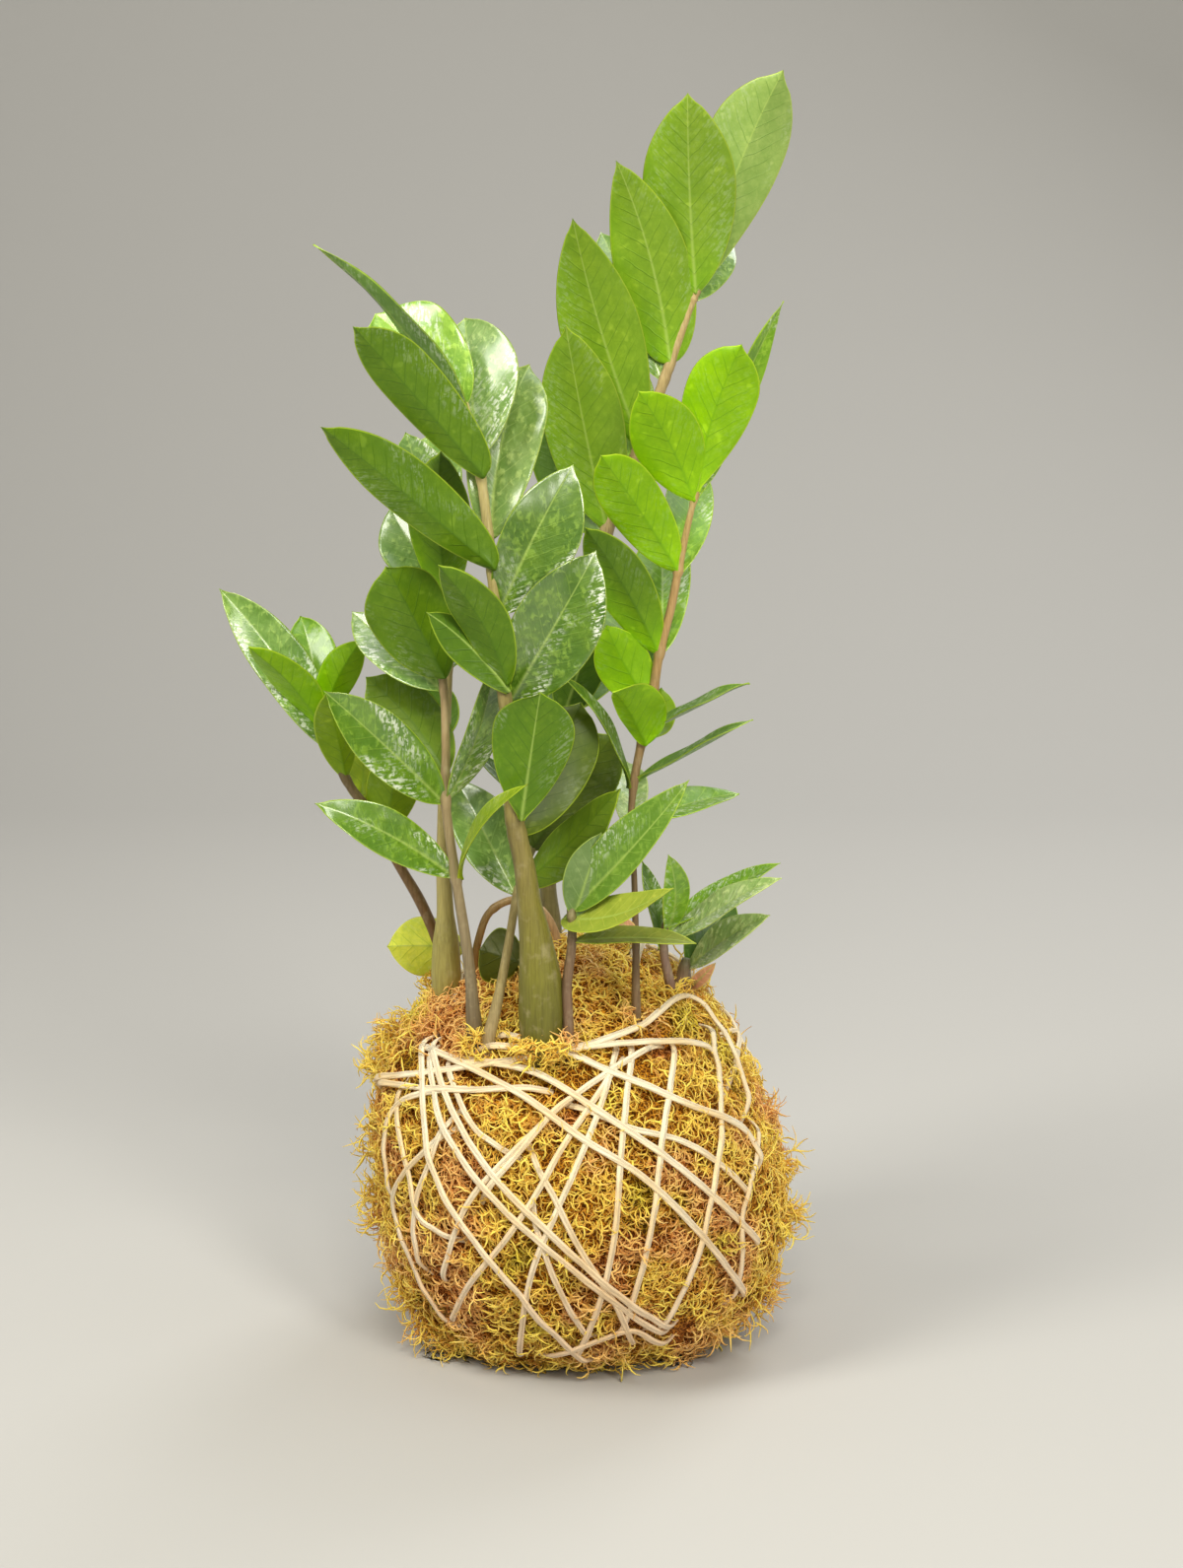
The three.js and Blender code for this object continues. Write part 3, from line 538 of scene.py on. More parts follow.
def add_blade(growth, foot, tip, width, turn, outline, arch, sway, look, rng, lean=0.0, back=0.0):
    """Adds one leaflet to a growth. The form's numbers mean what they mean for its plain solid.

    The lean is how much wider than half the right half is, as seen, as a share of the half, and back is how
    many mm the blade's foot reaches back past the stem.
    """
    foot = foot - (tip - foot).normalized() * back
    chord = tip - foot
    covers_stem = 90 < turn < 270 and lean > FOOT_COVERS
    length = chord.length
    along = chord.normalized()
    to_eye = EYE - foot - chord * 0.5
    to_eye = (to_eye - along * to_eye.dot(along)).normalized()
    facing = Matrix.Rotation(math.radians(turn), 3, along) @ to_eye
    rightward = along.cross(to_eye)
    bow = facing * (4 * arch * length) + rightward * (4 * sway * length)
    wave_turns = rng.uniform(1.2, 2.2)
    wave_starts = (rng.uniform(0, FULL_TURN), rng.uniform(0, FULL_TURN))
    wave_height = rng.uniform(0.015, 0.04) * width
    curl = rng.uniform(-0.02, 0.05) * length
    upper_tint, lower_tint, glow, pale_rib = look
    own = rng.random() * PALE_RIB_FROM + (PALE_RIB_FROM if pale_rib else 0)
    points, tints, maps, uvs = [], [], [], []
    for underside, tint in enumerate((upper_tint, lower_tint)):
        for share in BLADE_ROWS:
            middle = foot + chord * share + bow * (share * (1 - share))
            curled = max(0.0, share - TIP_CURLS_FROM) ** 2 / (1 - TIP_CURLS_FROM) ** 2
            middle = middle - facing * (curl * curled)
            heading = (chord + bow * (1 - 2 * share)).normalized()
            up = (facing - heading * facing.dot(heading)).normalized()
            across = up.cross(heading)
            right_sign = math.copysign(1, across.dot(rightward))
            foot_half = FOOT_HALF_WIDTH * max(0.0, 1 - share / FOOT_WIDE_TO)
            halves = []
            for side in (-1, 1):
                blunt = covers_stem and side > 0
                half = width / 2 * (1 + side * lean) * float(outline_at(share, outline, blunt))
                halves.append(math.hypot(half, foot_half))
            for column in COLUMNS:
                off = abs(column)
                half = halves[1 if column * right_sign > 0 else 0]
                reach = column * half
                start = wave_starts[0 if column < 0 else 1]
                wave = wave_height * off**3 * math.sin(2 * math.pi * wave_turns * share + start)
                form = CUP * half * (0.45 * off + 0.55 * off**1.7)
                groove, swell = relief_at(share, off, reach, half, length)
                sunk = groove - swell
                if off == 1:
                    sunk = MARGIN_THICKNESS / 2
                elif underside:
                    sunk = thickness_at(share, off, half) + 0.4 * groove - 0.6 * swell
                points.append(middle + across * reach + up * (form + wave - sunk))
                # Painted glow: towards the foot and on the side that the light comes from, the tint turns
                # to the look's glow colour, as if lit through.
                leftness = max(0.0, -column * math.copysign(1, across.x))
                painted_glow_share = math.exp(-share / PAINTED_GLOW_FOOT) + PAINTED_GLOW_SIDE * leftness * (1 - 0.5 * share)
                painted_glow_share = min(1.0, painted_glow_share) if glow else 0.0
                tints.append(tuple(a + (b - a) * painted_glow_share for a, b in zip(tint, glow or tint)))
                maps.append((off, share, float(underside), own))
                uvs.append((reach * MM, share * length * MM))
    growth.add(points, BLADE_FACES, 0, tints, maps, uvs)


print("points in a blade:", 2 * (ROWS + 1) * len(COLUMNS))

# %% [markdown]
# The leaflets show many kinds of colour. Old ones on the front fronds are deep green and glossy on top,
# with a duller green underside. The young ones are lime, the tall frond is yellow-green, and some
# leaflets that turn their upper side to the light are given a pale, flecked look, partly painted
# highlight. Three looks are pale tints that stand in for white, grey and silvery sheen: painted
# highlight. The dusk look is a darker grey-green for a leaflet in shade: painted shade. A look gives the
# colour of the upper side and of the underside, each with the strength of its quilting. Some have a third
# colour, a painted glow for the foot and the side that the light shines through. Most looks go with a
# pale midrib, and the named ones with a dark one.

# %% The looks of the leaflets
# Painted light: glow colours for the foot and the lit side of some leaflets.
TALL_PAINTED_GLOW = colour(0x86B414, 0.15)
LIME_PAINTED_GLOW = colour(0xA0D800, 0.1)
LOOKS = {
    "glossy": (0x5A7C16, 1.0, 0x5E7E1E, 0.1),
    # Painted highlight: these two are pale tints that stand in for sheen on the wax.
    "hazy": (0x7C9848, 1.0, 0x5E7E1E, 0.1),
    "frosted": (0x8CAA60, 1.0, 0x86A844, 0.1),
    "lit": (0x90BA3C, 0.8, 0x86AC24, 0.15),
    "deep": (0x648A16, 0.8, 0x5A7A16, 0.1),
    "mid": (0x5C7E1C, 0.5, 0x5C7E08, 0.12),
    "front": (0x5C7E1C, 0.3, 0x5C8008, 0.15),
    "full": (0x5A7E1C, 0.4, 0x5E8008, 0.1),
    "dim": (0x506418, 0.2, 0x566814, 0.06),
    # Painted shade: a darker grey-green for a leaflet in the plant's shade.
    "dusk": (0x768E54, 0.2, 0x768E54, 0.1),
    "dusky": (0x5E7E14, 0.2, 0x587810, 0.06, LIME_PAINTED_GLOW),
    "young": (0x8CA41C, 0.2, 0x94A814, 0.1),
    "fresh": (0x7CA824, 0.6, 0x86AC24, 0.15),
    # Painted highlight: a pale silvery tint that stands in for sheen.
    "silver": (0xB0C880, 0.8, 0xA2BC70, 0.2),
    "straw": (0xA0AC3C, 0.1, 0xA0AC38, 0.05),
    "dry": (0x889034, 0.1, 0x868E30, 0.05),
    "olive": (0x607E1A, 0.4, 0x627C12, 0.05),
    "shade": (0x4E7018, 0.3, 0x527410, 0.05),
    "shadow": (0x464A08, 0.1, 0x464A06, 0.03),
    "lime": (0x88B600, 0.1, 0x86B400, 0.04, LIME_PAINTED_GLOW),
    "yellow_lime": (0x84A60C, 0.2, 0x7C9C04, 0.04),
    "pale": (0x7EA246, 1.0, 0x86A844, 0.15),
    "tall": (0x84A424, 0.2, 0x82A226, 0.1, TALL_PAINTED_GLOW),
    "grey": (0x9AB45C, 0.25, 0x94AE58, 0.1),
    "slender": (0x688C34, 0.3, 0x688C34, 0.3),
    "bright": (0x6C902C, 0.45, 0x70942C, 0.15),
    "yellow": (0xECF460, 0.1, 0xECF458, 0.1),
    "husk": (0xDCA07E, 0.1, 0xD89874, 0.1),
}
DARK_RIBBED = ("mid", "full", "dim", "olive", "shadow", "lime", "yellow_lime", "young", "dusky")


def look_named(name):
    """A look's two colours, its painted glow colour or None, and whether its midrib is pale."""
    upper, upper_quilting, under, under_quilting, *glow = LOOKS[name]
    sides = colour(upper, upper_quilting), colour(under, under_quilting)
    return (*sides, glow[0] if glow else None, name not in DARK_RIBBED)


print("looks:", ", ".join(LOOKS))

# %% [markdown]
# The fronds are written as the CAD model has them: the stem's points as (u, v, depth, radius), and each
# leaflet by the height where it leaves the stem, where its tip is seen, its tip's depth, its width, how
# far it is turned, its outline, its arch and its sway. A look is added to each, and colours along each
# stem. A few have a lean and a reach back past the stem as well.

# %% The fronds
FRONDS = {
    "frond_front": dict(
        stem=[
            (-12.7, 113, -46, 6.8), (-13, 124, -46, 7.2), (-13.5, 134, -46.5, 7), (-15, 148, -47, 5.3),
            (-17, 160, -48, 3.9), (-18.7, 172, -49, 3.4), (-22, 188, -50, 3), (-25, 227, -52, 2.0),
            (-29, 265, -53, 1.7), (-33.3, 303, -51, 1.5), (-39, 329, -49, 1.1),
        ],
        colours=[0x68661E, 0x7C7828, 0x887E38, 0x9A8A50, 0xB6A668, 0xCCBE7E],
        over_stem=True,
        leaflets=[
            (188, -13.3, 231.7, -64, 26, 183, BROAD_TOP, 0.02, 0, "front"),
            (183, 0.5, 228, -34, 24, 176, ROUND, 0.03, 0.02, "dim"),
            (234, -48, 274, -74, 16.5, 158, POINTED, 0.03, 0.05, "mid"),
            (231, -52, 258.2, -60, 13, 196, POINTED, 0.03, 0.05, "shade"),
            (227.7, 5.7, 278.8, -54, 27.5, 5, POINTED, 0.06, 0, "glossy", 0.05),
            (257.7, -2, 308.2, -47, 24, 0, POINTED, 0.06, -0.02, "glossy", 0.17),
            (272.7, -88.3, 322, -78, 18, 172, POINTED, 0.03, 0, "mid", 0.2),
            (283, -17, 342.5, -32, 23, -8, ROUND, 0.05, -0.05, "hazy", 0.1),
            (304, -77, 355.8, -74, 18, 170, ROUND, 0.02, 0, "mid", 0.2),
            (310, -39.3, 358.2, -24, 28, -14, POINTED, 0.06, 0.03, "frosted", 0.15),
            (321, -89, 383.5, -52, 14.5, 116, LONG_TIP, 0, 0.05, "slender"),
            (327, -69, 359, -30, 29, 12, ROUND, 0.04, 0.03, "lit"),
        ],
    ),
    "frond_left_slender": dict(
        stem=[
            (-35, 113, -36, 2.9), (-36, 122, -36, 2.5), (-36.7, 132, -36.5, 1.9), (-39.3, 152, -37, 1.8),
            (-41.7, 167, -38, 1.6), (-45.3, 194, -38, 1.5), (-45.3, 212, -36, 1.4), (-46, 232, -34, 1.3),
            (-48, 247, -33, 1),
        ],
        colours=[0x6A5A40, 0x857658, 0xA08E68, 0xB29A6E, 0xA8906A],
        leaflets=[
            (169, -89.3, 193.6, -52, 15.5, 14, POINTED, 0.04, 0.03, "deep"),
            (168, -17.5, 200, -72, 9, -68, SLENDER, 0.06, -0.03, "young"),
            (194, -86.5, 231.6, -58, 19, 12, POINTED, 0.04, 0, "deep"),
            (195, -28.8, 241, -44, 16, 48, POINTED, 0.04, 0.02, "pale"),
            (203, -72, 235.5, -16, 22, 184, ROUND, 0.04, 0.06, "olive"),
            (232, -77, 258, -14, 18, 18, POINTED, 0.06, -0.02, "pale"),
            (236, -65.3, 273.5, -46, 26, 182, ROUND, 0.04, 0, "full", -0.05),
        ],
    ),
    "frond_left_thick": dict(
        stem=[
            (-45, 126, 2, 4.6), (-45, 136, 2, 5.2), (-45.2, 146, 2, 4.5), (-45.4, 156, 2, 3),
            (-46, 172, 2, 2.5), (-46.3, 192, 3, 1.7), (-45.3, 218, 8, 1.6), (-44.3, 245, 11, 1.5),
            (-44.3, 265, 12, 1.3), (-47, 290, 13, 1),
        ],
        colours=[0xA89E50, 0xB4AA60, 0xBCAC6C, 0xC4B07A, 0xC8B482],
        leaflets=[
            (216, -58, 236, 58, 20, 170, POINTED, 0.05, 0, "shade"),
            (240, -39, 270, 62, 19, 10, POINTED, 0.05, 0, "deep"),
            (248, -62, 268, 52, 19, 175, POINTED, 0.05, 0, "shade"),
            (262, -47, 312.5, -18, 21, 178, POINTED, 0.04, -0.03, "dusky"),
            (266, -64, 294, 30, 22, 0, POINTED, 0.04, -0.03, "pale"),
            (281, -59, 319, 26, 20, 4, POINTED, 0.04, 0, "pale"),
            (286, -51.5, 318, 44, 20, 0, POINTED, 0.06, 0, "pale"),
        ],
    ),
    "frond_far_left": dict(
        stem=[
            (-45.5, 133, 17, 2), (-46.5, 142, 17, 2), (-49.3, 150, 17, 1.9), (-54.3, 161, 15, 1.9),
            (-61, 172.3, 13, 1.7), (-71, 190, 9, 1.6), (-78.7, 201, 6, 1.6), (-86.7, 220, 3, 1.2),
            (-89, 230, 3, 0.9),
        ],
        colours=[0x6A4C2C, 0x7C5C36, 0x86683E, 0x70603C, 0x80743C],
        leaflets=[
            (181.7, -60.5, 214, -4, 18, 182, POINTED, 0.03, 0, "yellow_lime"),
            (194, -72.5, 218, 26, 15, 170, POINTED, 0.04, 0, "young"),
            (202, -86, 230.5, -18, 14, 186, POINTED, 0.05, 0.02, "yellow_lime"),
            (222, -73.5, 249.5, -10, 13, 190, POINTED, 0.05, -0.03, "lime"),
            (212, -122, 266, 8, 18.5, 12, POINTED, 0.04, 0.035, "pale"),
            (218, -112, 246.3, -20, 15, 140, POINTED, 0.04, 0.03, "lime"),
            (224, -94.5, 257, 24, 18, -8, POINTED, 0.04, 0.04, "fresh"),
        ],
    ),
    "frond_middle": dict(
        stem=[
            (-31, 112, -41, 2.2), (-29, 121, -40, 1.9), (-27, 130, -38.5, 1.6), (-23.7, 148, -35, 1.4),
            (-21.3, 162, -31, 1.4), (-18.5, 172, -24, 1.4), (-14.3, 184, -13, 1.4), (-11, 200, -6, 1.3),
            (-7, 217, -3, 1.2), (-4, 228, -2, 1),
        ],
        colours=[0xA8946A, 0x9C8C58, 0xA2925A, 0x7C7C3E, 0x6C7A34],
        leaflets=[
            (163, -42, 202, -18, 20, 10, POINTED, 0.04, 0, "pale"),
            (165, 13.3, 198.5, -46, 17, 152, SLENDER, 0.03, 0.02, "olive"),
            (178, 11.5, 217, -14, 24, 186, ROUND, 0.04, 0, "dim"),
            (187, -36.7, 211.5, -4, 12, 62, SLENDER, 0.05, 0, "shade"),
            (214, -11, 233.5, 12, 15, 0, POINTED, 0.05, 0, "shade"),
            (222, 4, 251.5, -12, 17, 180, ROUND, 0.04, 0, "shade"),
        ],
    ),
    "frond_lime": dict(
        stem=[
            (19, 121, -34, 1.7), (19, 132, -34, 1.4), (19, 145, -33, 1.15), (18.3, 172, -31, 0.95),
            (17.3, 185, -29, 0.95), (18.3, 200, -28, 1.3), (20.7, 213, -27, 1.45), (24.7, 230, -26, 1.6),
            (26.7, 243, -25, 1.5), (31, 260, -24, 1.4), (33.3, 272, -23, 1.3), (36, 285, -22, 1.1),
            (39.5, 300, -21, 0.9),
        ],
        colours=[0x7E6444, 0x7C6442, 0x967A54, 0xB8945E, 0xC4A068, 0xC0A664],
        leaflets=[
            (146, 10.5, 155, -38, 5, 20, POINTED, 0.1, 0.1, "husk"),
            (184, 16, 207.5, 10, 12, 0, POINTED, 0.05, 0.02, "silver"),
            (187, 54, 197.3, -14, 16, -56, POINTED, 0.03, 0, "fresh"),
            (199, -4, 237.4, -50, 10, 72, SLENDER, 0.05, 0, "mid"),
            (202, 58, 222.9, -32, 12, -80, SLENDER, 0, 0.01, "slender"),
            (214, 10.3, 233, -60, 15.5, 170, BROAD_FOOT, 0.03, 0.02, "lime", 0.5),
            (216, 27.5, 232.3, -6, 13, 178, ROUND, 0.05, 0.06, "yellow_lime"),
            (219, 56.7, 235.6, -30, 12, -78, SLENDER, 0, 0.01, "slender"),
            (227, 9, 254, -30, 18, 184, POINTED, 0.04, -0.04, "lime"),
            (232, 12, 266, 6, 19, 5, POINTED, 0.04, 0, "fresh"),
            (244, 1.5, 287.5, -42, 18, 176, POINTED, 0.04, 0.02, "dusky"),
            (245, 28, 285, 14, 19, -2, ROUND, 0.04, 0, "fresh"),
            (272, 7, 311.3, -44, 19, 180, ROUND, 0.04, 0.01, "lime"),
            (272, 36.5, 311, 14, 16, 0, POINTED, 0.04, 0.03, "fresh"),
            (296, 20, 332.6, -40, 22.5, 182, POINTED, 0.04, 0.03, "lime"),
            (297, 69, 363.3, -2, 14, 52, SLENDER, 0.02, -0.03, "fresh"),
            (299, 55, 348.8, -30, 23.5, 176, BROAD_TOP, 0.04, -0.04, "lime"),
        ],
    ),
    "frond_tall": dict(
        stem=[
            (-8.7, 141, 27, 3.2), (-9.3, 152, 27, 3.3), (-10.7, 165, 27, 3), (-9.3, 182, 26, 2.6),
            (-6, 212, 24, 2.5), (-1, 245, 24, 2.4), (8.3, 283, 25, 2.2), (17.7, 308, 27, 2.0),
            (28, 335, 29, 1.8), (37.3, 361, 31, 1.4), (40.5, 369, 31.5, 1.1),
        ],
        colours=[0x7A7448, 0x8A8250, 0x9C8A58, 0xAE9868, 0xBCA26E, 0xC2A66E],
        leaflets=[
            (214, -26, 243, 62, 22, 10, POINTED, 0.05, 0, "shade"),
            (226, 12, 258, 66, 22, 170, POINTED, 0.05, 0, "shade"),
            (250, -18, 283, 70, 23, 10, POINTED, 0.05, 0, "shade"),
            (283, -13.3, 333.3, 48, 26, 184, POINTED, 0.04, 0, "shade"),
            (286, -4.7, 355, 6, 27, 178, POINTED, 0.04, -0.01, "tall"),
            (306, 10, 350, 78, 24, 14, POINTED, 0.05, 0, "tall"),
            (315, -2.7, 392.4, 10, 27, 180, SHARP, 0.04, -0.02, "tall"),
            (337, 7, 388, 54, 20, 8, POINTED, 0.05, 0, "pale"),
            (342, 12, 411.5, 16, 26, 182, BROAD_FOOT, 0.04, 0.04, "tall"),
            (364, 50, 389, 66, 14, 24, POINTED, 0.05, 0, "pale"),
            (366, 36.5, 433.5, 12, 31, 180, POINTED, 0.04, -0.01, "tall"),
            (367, 68.3, 441.5, 32, 28, 190, BROAD_TOP, 0.04, -0.02, "grey"),
        ],
    ),
    "frond_low_right": dict(
        stem=[
            (-3.6, 113, -48, 2), (-4, 122, -47.5, 1.8), (-4.3, 132, -47, 1.7), (-2.7, 145, -46, 1.5),
            (-2.5, 151, -45, 1.4), (-3, 160, -43, 1.1),
        ],
        colours=[0x7A6044, 0x846850, 0x80684C, 0x7C7446],
        leaflets=[
            (147, 39.5, 146.5, -46, 13, -62, SLENDER, 0.04, 0, "dry"),
            (156, 31, 165.6, -74, 16, -54, BROAD_FOOT, 0.03, 0.1, "straw", 0, 5),
            (155, 7.3, 183.6, -46, 15, 0, POINTED, 0.04, 0, "dusk"),
            (158, 37.4, 201.4, -58, 16.5, -24, BROAD_FOOT, 0.04, 0.03, "bright", -0.2),
        ],
    ),
    "sprig_far_right": dict(
        stem=[
            (31, 129, -12, 1.8), (30, 135, -13, 1.7), (28.5, 143, -14, 1.4), (28.8, 151, -15, 1.2),
            (30, 155, -15, 0.9),
        ],
        colours=[0x84685A, 0x8A7060, 0x74704C],
        leaflets=[
            (144, 21, 174, 2, 10, 50, POINTED, 0.05, 0, "mid"),
            (150, 29.8, 176.4, -30, 10, 26, POINTED, 0.05, 0.06, "fresh"),
            (147, 66.7, 169.5, -34, 14, -54, SLENDER, 0.02, 0.01, "silver"),
            (152, 67.4, 174.3, -8, 13, -54, SLENDER, 0, 0, "fresh"),
        ],
    ),
    "sprig_right_shoulder": dict(
        stem=[
            (35, 128, -2, 3.2), (35, 133, -2, 3), (35.5, 138, -3, 2), (36, 141, -3, 1.4),
        ],
        colours=[0x84685A, 0x8A7060, 0x74704C],
        leaflets=[
            (138, 64, 156, -16, 14, -44, SLENDER, 0.05, 0, "silver"),
            (139, 52, 160, 22, 15, -20, POINTED, 0.05, 0, "shade"),
            (131, 46, 139.5, -12, 5, 10, POINTED, 0.1, 0, "husk"),
        ],
    ),
    "sprig_yellow": dict(
        stem=[
            (-36, 132, 24, 1.6), (-37, 139, 25, 1.4), (-39, 144.5, 25, 1.2), (-41, 146, 25, 1),
        ],
        colours=[0x7A6A34, 0x9A9440],
        leaflets=[(144.5, -65.3, 145, 20, 21, 184, POINTED, 0.03, 0.02, "yellow")],
    ),
    "sprig_shaded": dict(
        stem=[
            (-18, 128, -16, 1.6), (-19, 135, -16, 1.4), (-20, 141, -15, 1.1),
        ],
        colours=[0x5A5A28, 0x6A6A30],
        leaflets=[(139.5, -34, 144, -14, 19, 182, ROUND, 0.03, 0, "shadow")],
    ),
}
print("fronds:", len(FRONDS), "leaflets:", sum(len(frond["leaflets"]) for frond in FRONDS.values()))

# %% [markdown]
# A stem is a round skin over its curve. The curve is the same kind of smooth curve through its points as
# the CAD model's, so that the leaflets leave it at the same places. Small swellings where the leaflets
# stand, a faint ridge round each of them, and a slightly flattened section keep it from looking like a
# bent pipe.

# %% The form of a stem
STEM_SIDES = 20
RING_SPACING = 1.4  # mm along the stem
LEAST_GAP = 1e-4  # keeps two points in the same place from dividing by nothing
FOOT_DEPTH = 34  # how far a stem goes on down from the moss to its foot
FOOT_DRAWN_IN = 0.86  # the foot's distance from the ball's axis, as a share of the stem's
FOOT_TAPER = 0.7  # the foot's radius, as a share of the radius where the stem is first seen
COLOURS_FROM = 0.12  # the share of the length that is hidden in the ball and has the first colour
LOOK_AHEAD = 0.004  # the share of the way over which a stem's heading is taken
HALVINGS = 30
SWELLING, SWELLING_REACH = 0.22, 2.2  # mm, round the place where a leaflet leaves the stem
RIDGE, RIDGE_REACH, RIDGE_BELOW = 0.1, 0.5, 2.6  # mm, the fine line under each swelling


def curve_step(p0, p1, p2, p3, step):
    """The place a step of the way from p1 to p2 on a centripetal Catmull-Rom curve through four points."""
    gaps = [max((b - a).length ** 0.5, LEAST_GAP) for a, b in ((p0, p1), (p1, p2), (p2, p3))]
    t1 = ((p1 - p0) / gaps[0] - (p2 - p0) / (gaps[0] + gaps[1]) + (p2 - p1) / gaps[1]) * gaps[1]
    t2 = ((p2 - p1) / gaps[1] - (p3 - p1) / (gaps[1] + gaps[2]) + (p3 - p2) / gaps[2]) * gaps[1]
    square, cube = step * step, step**3
    place = p1 * (2 * cube - 3 * square + 1) + t1 * (cube - 2 * square + step)
    return place + p2 * (3 * square - 2 * cube) + t2 * (cube - square)


def curve_through(points):
    """A smooth curve through the points: a function from a share of the way to its place."""
    row = [points[0] * 2 - points[1], *points, points[-1] * 2 - points[-2]]
    spans = len(points) - 1

    def place(share):
        along = min(max(share, 0.0), 1.0) * spans
        span = min(int(along), spans - 1)
        return curve_step(*row[span : span + 4], along - span)

    return place


def share_at_height(place, height):
    """The share of the way along a curve at which it is seen at this height."""
    low, high = 0.0, 1.0
    for _ in range(HALVINGS):
        middle = (low + high) / 2
        if seen_height(place(middle)) < height:
            low = middle
        else:
            high = middle
    return low


def between(values, share):
    """The value at a share of the way along an evenly spaced row of tuples."""
    along = min(max(share, 0.0), 1.0) * (len(values) - 1)
    index = min(int(along), len(values) - 2)
    step = along - index
    return [a + (b - a) * step for a, b in zip(values[index], values[index + 1])]


def foot_below(point):
    return Vector((point.x * FOOT_DRAWN_IN, point.y * FOOT_DRAWN_IN, point.z - FOOT_DEPTH))


def length_of(points):
    return sum((b - a).length for a, b in zip(points, points[1:]))


def add_stem(growth, points, radii, codes, nodes):
    """Adds a stem through points. Its radii are tuples of one, and nodes are where leaflets leave it."""
    place, length = curve_through(points), length_of(points)
    rings = max(12, int(length / RING_SPACING))
    colours = [colour(code, 0.0) for code in codes]
    skin_points, tints = [], []
    for ring in range(rings + 1):
        share = ring / rings
        middle = place(share)
        ahead, behind = place(min(share + LOOK_AHEAD, 1.0)), place(max(share - LOOK_AHEAD, 0.0))
        heading = (ahead - behind).normalized()
        right = heading.cross(DEPTHWARD).normalized()
        back = heading.cross(right)
        radius = between(radii, share)[0]
        for node in nodes:
            apart = (share - node) * length
            swelling = SWELLING * math.exp(-((apart / SWELLING_REACH) ** 2))
            ridge = RIDGE * math.exp(-(((apart + RIDGE_BELOW) / RIDGE_REACH) ** 2))
            radius += (swelling - ridge) * min(1, radius)
        tint = between(colours, max(0.0, share - COLOURS_FROM) / (1 - COLOURS_FROM))
        tints += [tint] * STEM_SIDES
        for side in range(STEM_SIDES):
            angle = 2 * math.pi * side / STEM_SIDES
            rough = noise.noise(Vector((middle.x * 0.12, middle.z * 0.05, angle))) * 0.06
            reach = radius * (1 + rough + 0.02 * math.cos(5 * angle + 3 * share))
            off = right * (reach * math.cos(angle)), back * (reach * math.sin(angle))
            skin_points.append(middle + off[0] + off[1])
    faces = []
    for start in range(0, rings * STEM_SIDES, STEM_SIDES):
        for side in range(STEM_SIDES):
            a, b = start + side, start + (side + 1) % STEM_SIDES
            faces.append((a, b, b + STEM_SIDES, a + STEM_SIDES))
    faces.append(tuple(reversed(range(STEM_SIDES))))
    faces.append(tuple(range(rings * STEM_SIDES, (rings + 1) * STEM_SIDES)))
    growth.add(skin_points, faces, 1, tints)


print("stem sides:", STEM_SIDES)

# %% [markdown]
# Each frond is grown in turn: first its stem, and then its leaflets in order, each from the place where
# its height on the picture plane meets the stem. A leaflet that is seen from above starts at the stem's
# side. One that lies over its stem starts on the side of the stem that faces the eye.

# %% Grow the fronds
FROND_SEED = 100
SIDE_START = 0.6  # how far to the side of its stem a leaflet starts, as a share of the stem's radius
OVER_START = 0.7
CLEAR_OF_STEM = 1  # mm between the stem and a leaflet that lies over it
for number, (name, frond) in enumerate(FRONDS.items()):
    rng = random.Random(FROND_SEED + number)
    growth = Growth()
    points = [seen(*point[:3]) for point in frond["stem"]]
    points = [foot_below(points[0]), *points]
    place = curve_through(points)
    radii = [(point[3],) for point in frond["stem"]]
    radii = [(radii[0][0] * FOOT_TAPER,), *radii]
    shares = [share_at_height(place, leaflet[0]) for leaflet in frond["leaflets"]]
    add_stem(growth, points, radii, frond["colours"], shares)
    for share, leaflet in zip(shares, frond["leaflets"]):
        _, u, v, depth, width, turn, outline, arch, sway, look, *lean = leaflet
        tip, foot = seen(u, v, depth), place(share)
        radius = between(radii, share)[0]
        from_above = not 90 < turn < 270
        if from_above:
            foot = foot + Vector((math.copysign(radius * SIDE_START, tip.x - foot.x), 0, 0))
        elif foot.y > tip.y and (frond.get("over_stem") or lean):
            forward = (EYE - foot).normalized() * (radius * 1.1 + CLEAR_OF_STEM)
            foot = foot + forward + Vector((radius * OVER_START, 0, 0))
        add_blade(growth, foot, tip, width, turn, outline, arch, sway, look_named(look), rng, *lean)
    piece = growth.make(name + "_grown", [leaf_finish, stem_finish])
    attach(piece, "root")
    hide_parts(name)
    print(piece.name, "faces:", len(piece.data.polygons))

# %% [markdown]
# The dry stalk is a bare stem that bent over and grew back into the moss. It is woody and dull.

# %% The arched stalk
ARCHED_STALK = [(-35.5, 138, 8), (-34, 148, 9), (-30.3, 156.7, 10), (-22, 160.8, 10)]
ARCHED_STALK += [(-12.7, 157, 9), (-8.3, 150, 9), (-6.5, 140, 8)]
STALK_RADIUS = 1.35
STALK_COLOURS = [0xB08A50, 0xC4A068, 0xD0AC78, 0xC8A074, 0xB88C5C]
STALK_NODES = (0.4, 0.62)
stalk_points = [seen(*point) for point in ARCHED_STALK]
stalk_points = [foot_below(stalk_points[0]), *stalk_points, foot_below(stalk_points[-1])]
growth = Growth()
add_stem(growth, stalk_points, [(STALK_RADIUS,)] * len(stalk_points), STALK_COLOURS, STALK_NODES)
growth.finishes = [0] * len(growth.finishes)
stalk = growth.make("arched_stalk_grown", [stem_finish])
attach(stalk, "root")
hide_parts("arched_stalk")
print("stalk faces:", len(stalk.data.polygons))

# %% [markdown]
# The ball of moss is a lumpy ball that is flat where it rests. Its form is the CAD model's: a radius with
# broad lumps added along a few directions. The same function then carries the string, so that the string
# lies on the moss everywhere.

